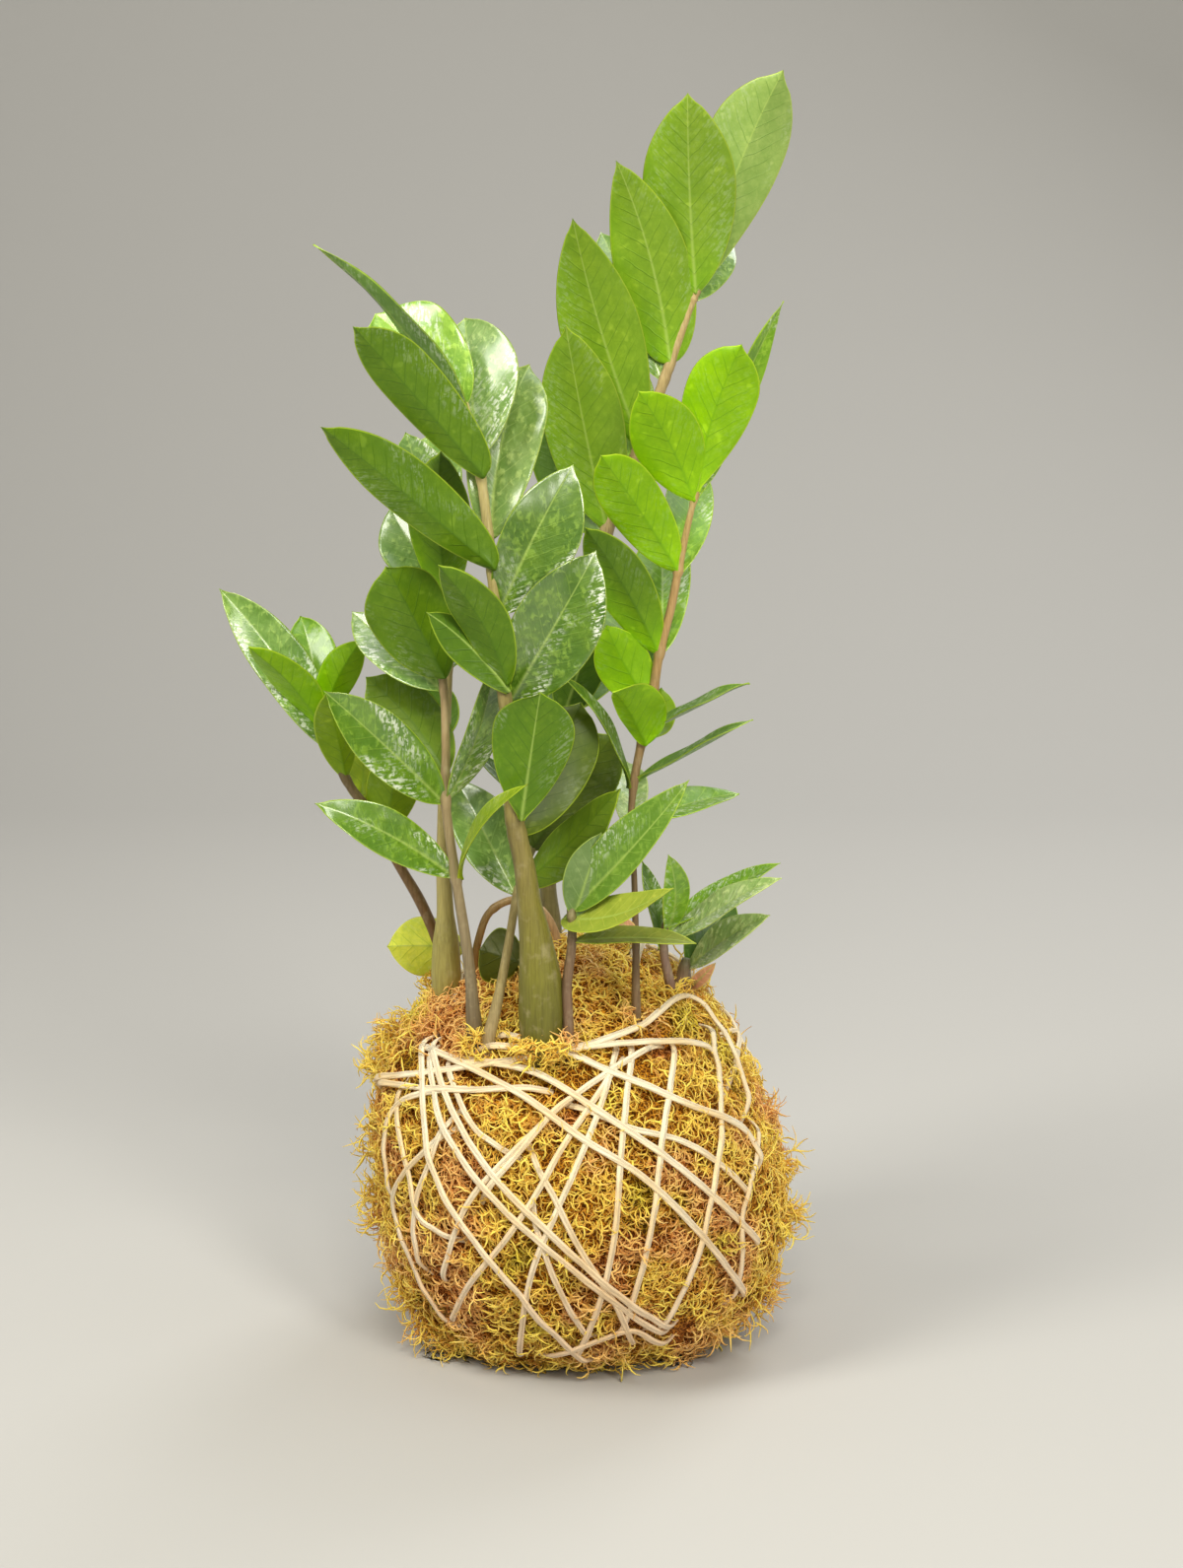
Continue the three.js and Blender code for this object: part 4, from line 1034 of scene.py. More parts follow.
# %% The form of the ball
BALL_RADIUS = 73.5
BALL_MIDDLE = Vector((0, 0, 63))
LUMPS = [
    ((-0.87, -0.2, 0.46), 6, 0.3),
    ((-1, -0.1, -0.02), -4, 0.26),
    ((0.86, -0.1, 0.46), -8, 0.36),
    ((0.1, 0.35, 1), 4, 0.4),
    ((-0.5, -0.2, -0.8), 7, 0.4),
    ((0.65, -0.2, -0.7), 7, 0.4),
    ((0.3, 0.9, -0.3), 3, 0.5),
    ((-0.4, 0.9, 0.2), -3, 0.4),
]
LUMPS = [(Vector(toward).normalized(), by, spread) for toward, by, spread in LUMPS]


def ball_radius(direction, floor=0.0):
    """The ball's radius along a direction from its middle, cut off at a height above the floor."""
    radius = BALL_RADIUS
    for toward, by, spread in LUMPS:
        radius += by * math.exp(-(direction.angle(toward) ** 2) / (2 * spread**2))
    if direction.z < 0:
        radius = min(radius, (floor - BALL_MIDDLE.z) / direction.z)
    return radius


print("radius towards the front:", round(ball_radius(Vector((0, -1, 0))), 1))

# %% [markdown]
# Geometry Nodes trees are built in the script. Small helpers open a tree with named inputs, add its nodes
# and close it with its material. The last one runs a tree: it puts it on a mesh, sets its inputs by their
# sockets' identifiers, turns what comes out into a plain mesh, and removes the modifier and the object
# that carried it.


# %% Helpers for Geometry Nodes
def open_tree(name, inputs):
    """An empty Geometry Nodes tree with a geometry and these inputs, and its Group Input's outputs."""
    tree = bpy.data.node_groups.new(name, "GeometryNodeTree")
    for label, kind, value in (("Geometry", "Geometry", None), *inputs):
        socket = tree.interface.new_socket(label, in_out="INPUT", socket_type="NodeSocket" + kind)
        if value is not None:
            socket.default_value = value
    return tree, tree.nodes.new("NodeGroupInput").outputs


def geometry(tree, kind, inputs=None, output=0, **settings):
    """One output of a new node of Geometry Nodes."""
    return add_node(tree, "GeometryNode" + kind, inputs, **settings).outputs[output]


def stored(tree, made, name, value):
    """The geometry with a number stored at each of its points."""
    inputs = {"Geometry": made, "Name": name, "Value": value}
    return geometry(tree, "StoreNamedAttribute", inputs, data_type="FLOAT", domain="POINT")


def close_tree(tree, made, finish):
    """Gives the tree its output, smooth and with its material."""
    smooth = geometry(tree, "SetShadeSmooth", {"Geometry": made})
    finished = geometry(tree, "SetMaterial", {"Geometry": smooth, "Material": finish})
    tree.interface.new_socket("Geometry", in_out="OUTPUT", socket_type="NodeSocketGeometry")
    add_node(tree, "NodeGroupOutput", {"Geometry": finished})


def run_tree(tree, name, mesh, **values):
    """Runs a tree on a mesh and returns what it makes as a plain object of that name."""
    carrier = add_object(name + "_carrier", mesh)
    modifier = carrier.modifiers.new("nodes", "NODES")
    modifier.node_group = tree
    for item in tree.interface.items_tree:
        label = item.name.replace(" ", "_")
        if item.in_out == "INPUT" and label in values:
            modifier[item.identifier] = values[label]
    graph = bpy.context.evaluated_depsgraph_get()
    evaluated = carrier.evaluated_get(graph)
    made = bpy.data.meshes.new_from_object(evaluated, preserve_all_data_layers=True, depsgraph=graph)
    carrier.modifiers.remove(modifier)
    bpy.data.objects.remove(carrier)
    made.name = name
    return add_object(name, made)


def triangles_of(piece):
    return sum(len(face.vertices) - 2 for face in piece.data.polygons)


print("helpers for Geometry Nodes are ready")

# %% [markdown]
# The string is thin, pale and a little flat, wound many times round the ball. Some turns lie on top and
# some have sunk into the moss. Each turn is written by the places that it passes on the front of the
# ball. Those places are carried onto the ball's surface along the eye's rays, and the way back round the
# far side is a wide arc through the opposite side of the ball, with a little chance in it.

# %% The routes of the string
# Each turn: how high it lies on the moss, in mm, and the picture pixels it passes.
TURNS = [
    (1.9, [(430, 1065), (430, 1100), (433, 1150), (438, 1180), (450, 1210), (468, 1240),
           (495, 1275), (525, 1310), (545, 1335), (570, 1360), (590, 1378)]),
    (1.6, [(437, 1078), (451, 1145), (491, 1205), (546, 1259), (600, 1303), (667, 1350)]),
    (1.9, [(441, 1068), (461, 1130), (501, 1193), (557, 1250), (603, 1293), (672, 1343)]),
    (2.1, [(440, 1066), (500, 1095), (535, 1115), (590, 1155), (650, 1193), (710, 1252), (752, 1308)]),
    (2.0, [(475, 1076), (545, 1090), (610, 1130), (680, 1178), (735, 1225), (765, 1256)]),
    (1.2, [(600, 1128), (640, 1145), (690, 1157), (735, 1185), (755, 1205)]),
    (2.0, [(520, 1052), (560, 1063), (620, 1088), (690, 1118), (757, 1150), (768, 1170)]),
    (2.2, [(500, 1063), (560, 1066), (600, 1060), (650, 1042), (685, 1015), (700, 1013), (712, 1022),
           (740, 1065), (756, 1110)]),
    (1.7, [(385, 1094), (420, 1090), (510, 1078), (575, 1066), (650, 1058), (715, 1062)]),
    (1.5, [(388, 1099), (430, 1104), (480, 1106), (530, 1104)]),
    (1.3, [(455, 1105), (428, 1110), (402, 1122), (390, 1160), (393, 1200)]),
    (1.4, [(655, 1065), (585, 1110), (565, 1125), (530, 1165), (500, 1200)]),
    (1.3, [(620, 1090), (600, 1120), (570, 1165), (545, 1210), (515, 1255), (475, 1305), (460, 1335)]),
    (1.2, [(620, 1085), (610, 1120), (583, 1188), (560, 1240), (540, 1290), (527, 1372)]),
    (1.0, [(560, 1130), (540, 1150), (512, 1177), (475, 1220), (450, 1290)]),
    (1.2, [(640, 1080), (637, 1100), (630, 1170), (624, 1250), (612, 1310), (587, 1372)]),
    (1.3, [(684, 1070), (680, 1100), (671, 1160), (662, 1240), (645, 1310), (633, 1345)]),
    (1.6, [(722, 1050), (727, 1080), (731, 1140), (724, 1200), (710, 1265), (690, 1315), (675, 1340)]),
    (1.3, [(770, 1150), (768, 1170), (757, 1215), (752, 1250), (753, 1275), (748, 1310)]),
    (1.1, [(548, 1190), (562, 1215), (585, 1262), (625, 1325), (640, 1360)]),
    (1.0, [(545, 1250), (553, 1275), (575, 1325), (592, 1352)]),
    (1.2, [(440, 1160), (398, 1220), (413, 1270), (445, 1335)]),
    (1.3, [(402, 1120), (405, 1150), (418, 1205), (425, 1235), (443, 1250)]),
    (1.3, [(447, 1150), (435, 1180), (420, 1235), (424, 1275)]),
    (1.0, [(455, 1085), (462, 1108), (483, 1147), (500, 1160)]),
    (1.6, [(560, 1375), (600, 1362), (640, 1350), (668, 1362)]),
]
BACK_CHANCE = 0.3
BACK_FROM = 0.12  # how far behind the ball's middle, as a share of its radius, moss grows over the string
SUNK = -5.5  # how deep a turn lies where moss has grown over it
STRING_PRESSED = 1.1  # mm by which every turn is pressed into the moss
STRING_LOWEST = 1.8
STRING_FLOOR = 1.4  # how high the ball's form is cut off for the string
STRING_REACH = 75  # mm from the ball's middle
STRING_STEP = 2  # mm between two points of a route
STRING_SEED = 7
WANDER = 0.7  # mm by which a turn rises and sinks on its way
ONWARD = (12, 26, 42, 58)  # degrees past the front end of a turn


def on_ball(pixel):
    """The direction from the ball's middle of a place that is seen on its front at this picture pixel."""
    u = pixel[0] / PIXELS_PER_MM + PICTURE_CORNER[0]
    v = PICTURE_CORNER[1] - pixel[1] / PIXELS_PER_MM
    ray = ray_to(u, v).normalized()
    to_middle = BALL_MIDDLE - EYE
    nearest = to_middle.dot(ray)
    radius = BALL_RADIUS
    for _ in range(4):
        inside = max(radius**2 - max(to_middle.length_squared - nearest**2, 0.0), 0.0)
        direction = (ray * (nearest - math.sqrt(inside)) - to_middle).normalized()
        radius = ball_radius(direction)
    return direction


def onward(start, before, degrees):
    """The direction reached by going on past start for so many degrees, away from the one before."""
    axis = before.cross(start).normalized()
    return Matrix.Rotation(math.radians(degrees), 3, axis) @ start


def turn_route(pixels, lift, rng):
    """Directions from the ball's middle all the way round one turn, each with its height over the form."""
    front = [on_ball(pixel) for pixel in pixels]
    jitter = Vector((rng.uniform(-1, 1), rng.uniform(-1, 1), rng.uniform(-1, 1))) * BACK_CHANCE
    leaving = [onward(front[-1], front[-2], degrees) for degrees in ONWARD]
    coming = [onward(front[0], front[1], degrees) for degrees in reversed(ONWARD)]
    far = (leaving[-1] + coming[0] + jitter).normalized()
    back = leaving + [leaving[-1].slerp(far, 0.5), far, far.slerp(coming[0], 0.5)] + coming
    route = [(direction, lift) for direction in front]
    return route + [(direction, lift if direction.y > BACK_FROM else SUNK) for direction in back]


def closed_curve(row):
    """A smooth closed curve through a route, as places about 2 mm apart on the ball, with heights."""
    count = len(row)
    smooth = []
    for index in range(count):
        four = [row[(index + step) % count][0] for step in (-1, 0, 1, 2)]
        low, high = row[index][1], row[(index + 1) % count][1]
        pieces = max(1, round((four[2] - four[1]).length * STRING_REACH / STRING_STEP))
        for step in range(pieces):
            share = step / pieces
            rise = 3 * share**2 - 2 * share**3
            smooth.append((curve_step(*four, share), low + (high - low) * rise))
    return smooth


string_rng = random.Random(STRING_SEED)
route_points, route_edges, route_normals, route_breadths = [], [], [], []
for number, (lift, pixels) in enumerate(TURNS):
    start = len(route_points)
    for direction, height in closed_curve(turn_route(pixels, lift, string_rng)):
        outward = direction.normalized()
        wander = noise.noise(outward * 9 + Vector((number * 3.1, 0, 0)))
        reach = ball_radius(outward, STRING_FLOOR) + height - STRING_PRESSED + WANDER * wander
        point = outward * reach + BALL_MIDDLE
        point.z = max(point.z, STRING_LOWEST)
        route_points.append(point * MM)
        route_normals.append(outward)
        route_breadths.append(0.78 + 0.15 * min(max(lift, 0.0), 2.0) + 0.12 * wander)
    count = len(route_points) - start
    route_edges += [(start + step, start + (step + 1) % count) for step in range(count)]
routes = mesh_of("string_routes", route_points, [], route_edges)
outwards = routes.attributes.new("outward", "FLOAT_VECTOR", "POINT")
outwards.data.foreach_set("vector", np.array(route_normals, dtype=np.float32).ravel())
breadths = routes.attributes.new("breadth", "FLOAT", "POINT")
breadths.data.foreach_set("value", np.array(route_breadths, dtype=np.float32))
print("string points:", len(route_points))

# %% [markdown]
# The string itself is swept along those routes by Geometry Nodes. The section is an ellipse with its flat
# side to the moss, so the curve's normal is set to the outward direction that each route point carries.
# The place round the string and along it is stored for the material.

# %% Sweep the string
wound, given = open_tree(
    "Wound string",
    [
        ("Width", "Float", 0.0022),
        ("Height", "Float", 0.0014),
        ("Sides", "Int", 10),
        ("Finish", "Material", None),
    ],
)
curve = geometry(wound, "MeshToCurve", {"Mesh": given["Geometry"]})
outward = geometry(wound, "InputNamedAttribute", {"Name": "outward"}, data_type="FLOAT_VECTOR")
turned = geometry(wound, "SetCurveNormal", {"Curve": curve, "Normal": outward}, mode="FREE")
route = stored(wound, turned, "string_along", geometry(wound, "SplineParameter", output="Length"))
circle = geometry(wound, "CurvePrimitiveCircle", {"Resolution": given["Sides"], "Radius": 0.5})
size = combined(wound, given["Height"], given["Width"], 1.0)
section = geometry(wound, "Transform", {"Geometry": circle, "Scale": size})
section = stored(wound, section, "string_around", geometry(wound, "SplineParameter", output="Factor"))
breadth = geometry(wound, "InputNamedAttribute", {"Name": "breadth"}, data_type="FLOAT")
swept = geometry(wound, "CurveToMesh", {"Curve": route, "Profile Curve": section, "Scale": breadth})
real = geometry(wound, "RealizeInstances", {"Geometry": swept})
close_tree(wound, real, given["Finish"])

string_finish, tree, shader = open_material("string", IOR=1.4, Sheen_Weight=0.3, Sheen_Roughness=0.5)
coords = own_place(tree)
string_along = attribute(tree, "string_along")["Fac"]
string_around = attribute(tree, "string_around")["Fac"]
lay = plus(tree, times(tree, string_along, 90.0), times(tree, string_around, 5.0))
ply = maths(tree, "SINE", times(tree, lay, 2 * math.pi))
hairs = noise_at(tree, combined(tree, times(tree, string_along, 60.0), lay), 5.0, 3.0, 0.6)
age = ramp_between(tree, noise_at(tree, coords, 45, 2.0), 0.35, 0.7)
aged = mix_colours(tree, age, colour(0xFFF4D4), colour(0xF6DCA8))
haired = mix_colours(tree, ramp_between(tree, hairs, 0.3, 0.7, 0.35, 0.0), aged, colour(0xD0A46C))
# Painted shade: towards the floor the string turns a darker pinkish tan.
low_painted_shade = ramp_between(tree, separated(tree, coords)[2], 0.09, 0.01, 0.0, 0.6)
string_height = plus(tree, times(tree, ply, 0.4), hairs)
feed(
    tree,
    shader,
    Base_Color=mix_colours(tree, low_painted_shade, haired, colour(0xE6BC90)),
    Roughness=ramp_between(tree, hairs, 0.3, 0.7, 0.6, 0.85),
    Normal=bump(tree, string_height, 0.00025, 0.7),
)

string_piece = run_tree(wound, "string_wound", routes, Finish=string_finish)
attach(string_piece, "root")
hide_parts("binding_string")
print("string faces:", len(string_piece.data.polygons))

# %% [markdown]
# Under the fibres lies the packed moss, in the moss colour at its darkest tone and darker still inside a
# net of cells: painted shade for the hollows between the fibres. It is a ball-shaped grid that is set out
# by the ball's form and roughened by noise at two sizes, so that the gaps between fibres show depth and
# not a smooth wall.

# %% The packed moss under the fibres
AROUND, DOWN = 220, 120
PACKED_UNDER = 4.3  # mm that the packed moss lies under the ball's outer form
PACKED_LOWEST = 0.6
ROUGH_ABOVE = 8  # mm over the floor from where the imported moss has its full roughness


def packed_radius(direction):
    rough = noise.noise(direction * 7.5) * 1.3 + noise.noise(direction * 19) * 0.8
    radius = ball_radius(direction, PACKED_LOWEST) - PACKED_UNDER
    low = max(0.0, min(1.0, (radius * direction.z + BALL_MIDDLE.z) / ROUGH_ABOVE))
    return radius + rough * low


packed_points = []
for row in range(1, DOWN):
    polar = math.pi * row / DOWN
    for column in range(AROUND):
        turn = 2 * math.pi * column / AROUND
        level = math.sin(polar)
        direction = Vector((level * math.cos(turn), level * math.sin(turn), math.cos(polar)))
        point = direction * packed_radius(direction) + BALL_MIDDLE
        point.z = max(point.z, PACKED_LOWEST)
        packed_points.append(point * MM)
top = Vector((0, 0, packed_radius(Vector((0, 0, 1))))) + BALL_MIDDLE
packed_points += [top * MM, Vector((0, 0, PACKED_LOWEST)) * MM]
packed_faces = []
for row in range(DOWN - 2):
    for column in range(AROUND):
        a = row * AROUND + column
        b = row * AROUND + (column + 1) % AROUND
        packed_faces.append((a, a + AROUND, b + AROUND, b))
last = (DOWN - 2) * AROUND
for column in range(AROUND):
    after = (column + 1) % AROUND
    packed_faces.append((len(packed_points) - 2, column, after))
    packed_faces.append((len(packed_points) - 1, last + after, last + column))
packed_mesh = mesh_of("moss_packed", packed_points, packed_faces, smooth=True)
moss_packed = add_object("moss_packed", packed_mesh)
print("packed moss faces:", len(packed_faces))

# %% [markdown]
# The moss has turned gold, with orange-brown and olive patches a few centimetres across. The patches come
# from noise in the ball's own space, in a group that the packed moss and the fibres share, so that a
# brown patch is brown all through.

# %% The colour of the moss, as a node group
moss_colour, given = open_group("Moss colour", {"Tone": 0.5})
coords = own_place(moss_colour)
broad = noise_at(moss_colour, coords, 34, 2.0, 0.55)
elsewhere = vector_maths(moss_colour, "ADD", coords, (0.31, 0.17, 0.53))
other = noise_at(moss_colour, elsewhere, 42, 2.0, 0.6)
gold = mix_colours(moss_colour, given["Tone"], colour(0xDC8E12), colour(0xFFE660))
brown = mix_colours(moss_colour, given["Tone"], colour(0xD07A24), colour(0xFFD078))
olive = mix_colours(moss_colour, given["Tone"], colour(0xA89010), colour(0xFCE844))
base = mix_colours(moss_colour, ramp_between(moss_colour, broad, 0.5, 0.62), gold, brown)
base = mix_colours(moss_colour, ramp_between(moss_colour, other, 0.58, 0.72, 0.0, 0.8), base, olive)
close_group(moss_colour, {"Colour": base, "Fine": noise_at(moss_colour, coords, 900, 2.0)})

packed_finish, tree, shader = open_material("packed moss", IOR=1.3)
# Painted shade: the packed moss takes the darkest tone, and inside a net of cells it is darkened to a fifth
# or less.
packed_look = place_group(tree, moss_colour, {"Tone": 0.1})
packed_painted_shade = mix_colours(tree, 1.0, packed_look["Colour"], (0.2, 0.15, 0.1, 1), "MULTIPLY")
threads = to_cell_edge(tree, own_place(tree), 700.0)
painted_shade_share = ramp_between(tree, threads, 0.0, 0.12)
feed(
    tree,
    shader,
    Base_Color=mix_colours(tree, painted_shade_share, packed_look["Colour"], packed_painted_shade),
    Roughness=ramp_between(tree, packed_look["Fine"], 0.3, 0.7, 0.8, 1.0),
    Normal=bump(tree, threads, 0.0012, 0.9),
)
packed_mesh.materials.append(packed_finish)

fibre_finish, tree, shader = open_material("moss fibre", IOR=1.4, Sheen_Weight=0.15)
fibre_look = place_group(tree, moss_colour, {"Tone": attribute(tree, "tone")["Fac"]})
feed(
    tree,
    shader,
    Base_Color=fibre_look["Colour"],
    Roughness=ramp_between(tree, fibre_look["Fine"], 0.3, 0.7, 0.38, 0.62),
    Normal=bump(tree, fibre_look["Fine"], 0.0002, 0.4),
)
print("moss colour:", len(moss_colour.nodes), "nodes")

# %% [markdown]
# The moss is tens of thousands of thin curved shoots, each with a twig or two. One Geometry Nodes tree
# makes them. It scatters points over the packed moss, leaves out those where the string presses the moss
# flat, and stands a shoot on each, turned, tilted and sized at random. The shoots are a few Bezier
# curves, swept with a three-sided section that thins towards the end. After Realize Instances whatever
# would reach below the floor is lifted to it, and the tree ends in Set Material.

# %% The tree that grows moss shoots
# Each shoot: its strands, as start, middle and end of a curve in shares of its length, and its steps.
SHOOTS = [
    [
        ((0, 0, -0.1), (0.15, 0.5, 0.3), (0.7, 0.45, 0.1), 4),
        ((0.2, 0.3, 0.1), (0.1, 0.6, 0.25), (-0.15, 0.7, 0.1), 3),
        ((0.4, 0.4, 0.12), (0.65, 0.3, 0.25), (0.7, 0.05, 0.15), 2),
    ],
    [
        ((0, 0, -0.1), (-0.5, 0.25, 0.3), (-0.6, -0.35, 0.08), 5),
        ((-0.35, 0.1, 0.12), (-0.6, 0.35, 0.22), (-0.8, 0.2, 0.05), 2),
    ],
    [
        ((0.1, -0.2, -0.1), (0.85, 0.0, 0.25), (0.2, 0.6, 0.05), 5),
        ((0.45, 0.1, 0.1), (0.75, 0.35, 0.25), (0.6, 0.6, 0.2), 3),
    ],
    [
        ((0, 0.1, -0.1), (0.3, -0.5, 0.2), (-0.4, -0.7, 0.15), 5),
        ((0.05, -0.3, 0.1), (0.35, -0.45, 0.3), (0.5, -0.75, 0.1), 2),
        ((-0.1, -0.5, 0.12), (-0.4, -0.4, 0.25), (-0.4, -0.1, 0.15), 2),
    ],
    [
        ((0, 0, -0.1), (0.55, -0.4, 0.25), (0.8, 0.2, 0.0), 5),
        ((0.4, -0.15, 0.1), (0.45, -0.5, 0.22), (0.8, -0.6, 0.1), 3),
    ],
]
STRAND_ENDS = (1.0, 0.35)  # a strand's thickness at its foot and at its tip, as shares of the widest
LEAST_HEIGHT = 0.0004  # metres over the floor that every shoot keeps

shoots, given = open_tree(
    "Moss shoots",
    [
        ("Density", "Float", 52000.0),
        ("Length", "Float", 0.006),
        ("Thickness", "Float", 0.0006),
        ("Tilt", "Float", 0.7),
        ("Lift", "Float", 0.0),
        ("Clear of string", "Float", 0.0018),
        ("Clumping", "Float", 0.0),
        ("Brightest", "Float", 1.0),
        ("String", "Object", None),
        ("Seed", "Int", 1),
        ("Finish", "Material", None),
    ],
)


def at_random(inputs, kind):
    """A random value for each point, from the tree's own seed."""
    inputs = {**inputs, "Seed": given["Seed"]}
    node = add_node(shoots, "FunctionNodeRandomValue", inputs, data_type=kind)
    return next(socket for socket in node.outputs if socket.enabled)


clumps = add_node(shoots, "ShaderNodeTexNoise", {"Scale": 75.0, "Detail": 1.0}).outputs[0]
clumped = times(shoots, ramp_between(shoots, clumps, 0.52, 0.66), given["Clumping"])
share = plus(shoots, minus(shoots, 1.0, given["Clumping"]), clumped)
density = times(shoots, given["Density"], share)
spread = {"Mesh": given["Geometry"], "Density": density, "Seed": given["Seed"]}
scatter = add_node(shoots, "GeometryNodeDistributePointsOnFaces", spread).outputs
string_is = {"Object": given["String"]}
string_form = geometry(shoots, "ObjectInfo", string_is, "Geometry", transform_space="RELATIVE")
near = geometry(shoots, "Proximity", {"Target": string_form}, "Distance", target_element="FACES")
pressed = {"A": near, "B": given["Clear of string"]}
too_near = add_node(shoots, "FunctionNodeCompare", pressed, data_type="FLOAT", operation="LESS_THAN")
left_out = {"Geometry": scatter["Points"], "Selection": too_near.outputs[0]}
kept = geometry(shoots, "DeleteGeometry", left_out, domain="POINT")
# Each shoot gets a random tone up to the layer's Brightest; holding the lowest layers low is painted shade.
toned = stored(shoots, kept, "tone", at_random({"Max": given["Brightest"]}, "FLOAT"))
raise_by = vector_maths(shoots, "SCALE", scatter["Normal"], given["Lift"])
raised = geometry(shoots, "SetPosition", {"Geometry": toned, "Offset": raise_by})

variants = shoots.nodes.new("GeometryNodeGeometryToInstance")
taper = ramp_between(shoots, geometry(shoots, "SplineParameter", output="Factor"), 0.25, 1.0, *STRAND_ENDS)
section_radius = times(shoots, given["Thickness"], 0.5)
section = geometry(shoots, "CurvePrimitiveCircle", {"Resolution": 3, "Radius": section_radius})
size = combined(shoots, given["Length"], given["Length"], given["Length"])
for strands in SHOOTS:
    whole = shoots.nodes.new("GeometryNodeJoinGeometry")
    for start, middle, end, steps in strands:
        bend = {"Resolution": steps, "Start": start, "Middle": middle, "End": end}
        strand = geometry(shoots, "CurveQuadraticBezier", bend)
        strand = geometry(shoots, "Transform", {"Geometry": strand, "Scale": size})
        shoots.links.new(strand, whole.inputs[0])
    sweep = {"Curve": whole.outputs[0], "Profile Curve": section, "Fill Caps": True, "Scale": taper}
    shoots.links.new(geometry(shoots, "CurveToMesh", sweep), variants.inputs[0])

back_tilt = times(shoots, given["Tilt"], -1.0)
least = combined(shoots, back_tilt, back_tilt)
most = combined(shoots, given["Tilt"], given["Tilt"], 2 * math.pi)
angles = at_random({"Min": least, "Max": most}, "FLOAT_VECTOR")
own_turn = add_node(shoots, "FunctionNodeEulerToRotation", {0: angles}).outputs[0]
stood = {"Rotation": scatter["Rotation"], "Rotate By": own_turn}
facing = add_node(shoots, "FunctionNodeRotateRotation", stood, rotation_space="LOCAL").outputs[0]
sizes = ramp_between(shoots, at_random({}, "FLOAT"), 0.0, 1.0, 0.6, 1.4)
placing = {"Points": raised, "Instance": variants.outputs[0], "Pick Instance": True}
placed = geometry(shoots, "InstanceOnPoints", {**placing, "Rotation": facing, "Scale": sizes})
real = geometry(shoots, "RealizeInstances", {"Geometry": placed})
x, y, z = separated(shoots, geometry(shoots, "InputPosition"))
lifted = combined(shoots, x, y, maths(shoots, "MAXIMUM", z, LEAST_HEIGHT))
rested = geometry(shoots, "SetPosition", {"Geometry": real, "Position": lifted})
close_tree(shoots, rested, given["Finish"])
print("moss shoots tree:", len(shoots.nodes), "nodes")

# %% [markdown]
# Eight layers of shoots cover the ball. The first ones are close, lie nearly flat and have darker tones
# at most, which is painted shade deep in the moss. The last are looser, stand out in clumps and break up
# the outline.

# %% Grow the moss
LAYERS = [
    # Painted shade: the two lowest layers are held to darker tones.
    dict(Length=0.0054, Thickness=0.0007, Tilt=0.3, Lift=0.0002, Brightest=0.5),
    dict(Length=0.0056, Thickness=0.00066, Tilt=0.3, Lift=0.0005, Brightest=0.85),
    dict(Length=0.0056, Thickness=0.00062, Tilt=0.35, Lift=0.0008),
    dict(Length=0.0058, Thickness=0.0006, Tilt=0.4, Lift=0.0011),
    dict(Length=0.006, Thickness=0.00058, Tilt=0.45, Lift=0.0014),
    dict(Length=0.006, Thickness=0.00056, Tilt=0.5, Lift=0.0017),
    dict(Length=0.0062, Thickness=0.00054, Tilt=0.7, Lift=0.0019, Density=44000.0),
    dict(Length=0.0078, Thickness=0.00052, Tilt=1.1, Lift=0.0018, Density=60000.0, Clumping=1.0),
]


def grow_moss(name, mesh, **values):
    """Grows shoots on a mesh, as one piece in place of the plain moss."""
    piece = run_tree(shoots, name, mesh, String=string_piece, Finish=fibre_finish, **values)
    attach(piece, "root")
    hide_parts("moss_skin")
    print(name, "triangles:", triangles_of(piece))


for number, layer in enumerate(LAYERS, 1):
    grow_moss(f"moss_shoots_{number}", packed_mesh, Seed=number, **layer)
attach(moss_packed, "root")
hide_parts("moss_skin")

# %% [markdown]
# Moss has grown up round the foot of every stem. A small ring lies there, square to the stem, and the
# same tree grows a collar of shoots on it, much closer than on the ball.

# %% Collars of moss round the stems
COLLAR_WIDTH = 1.6  # mm from the stem's skin to the middle of the ring
COLLAR_THICKNESS = 2.6
COLLAR_DROP = 1.0  # mm that the ring lies below the place where the stem is first seen
RING_SIDES, RING_STEPS = 6, 16


def add_ring(points, faces, middle, axis, reach, thickness):
    """Adds a ring round an axis to lists of points and faces."""
    right = axis.cross(DEPTHWARD).normalized()
    back = axis.cross(right)
    start = len(points)
    for step in range(RING_STEPS):
        turn = 2 * math.pi * step / RING_STEPS
        outward = right * math.cos(turn) + back * math.sin(turn)
        for side in range(RING_SIDES):
            angle = 2 * math.pi * side / RING_SIDES
            off = outward * math.cos(angle) + axis * math.sin(angle)
            points.append((middle + outward * reach + off * thickness) * MM)
    for step in range(RING_STEPS):
        after = (step + 1) % RING_STEPS
        for side in range(RING_SIDES):
            beside = (side + 1) % RING_SIDES
            corners = [step * RING_SIDES + side, after * RING_SIDES + side]
            corners += [after * RING_SIDES + beside, step * RING_SIDES + beside]
            faces.append(tuple(start + corner for corner in corners))


ring_points, ring_faces = [], []
for name, frond in FRONDS.items():
    above = [seen(*point[:3]) for point in frond["stem"]]
    heading = (above[1] - above[0]).normalized()
    middle = above[0] - heading * COLLAR_DROP
    reach = frond["stem"][0][3] + COLLAR_WIDTH
    add_ring(ring_points, ring_faces, middle, heading, reach, COLLAR_THICKNESS)
ring_mesh = mesh_of("collar_rings", ring_points, ring_faces)
grow_moss("moss_collars", ring_mesh, Density=420000.0, Length=0.0058, Seed=31)
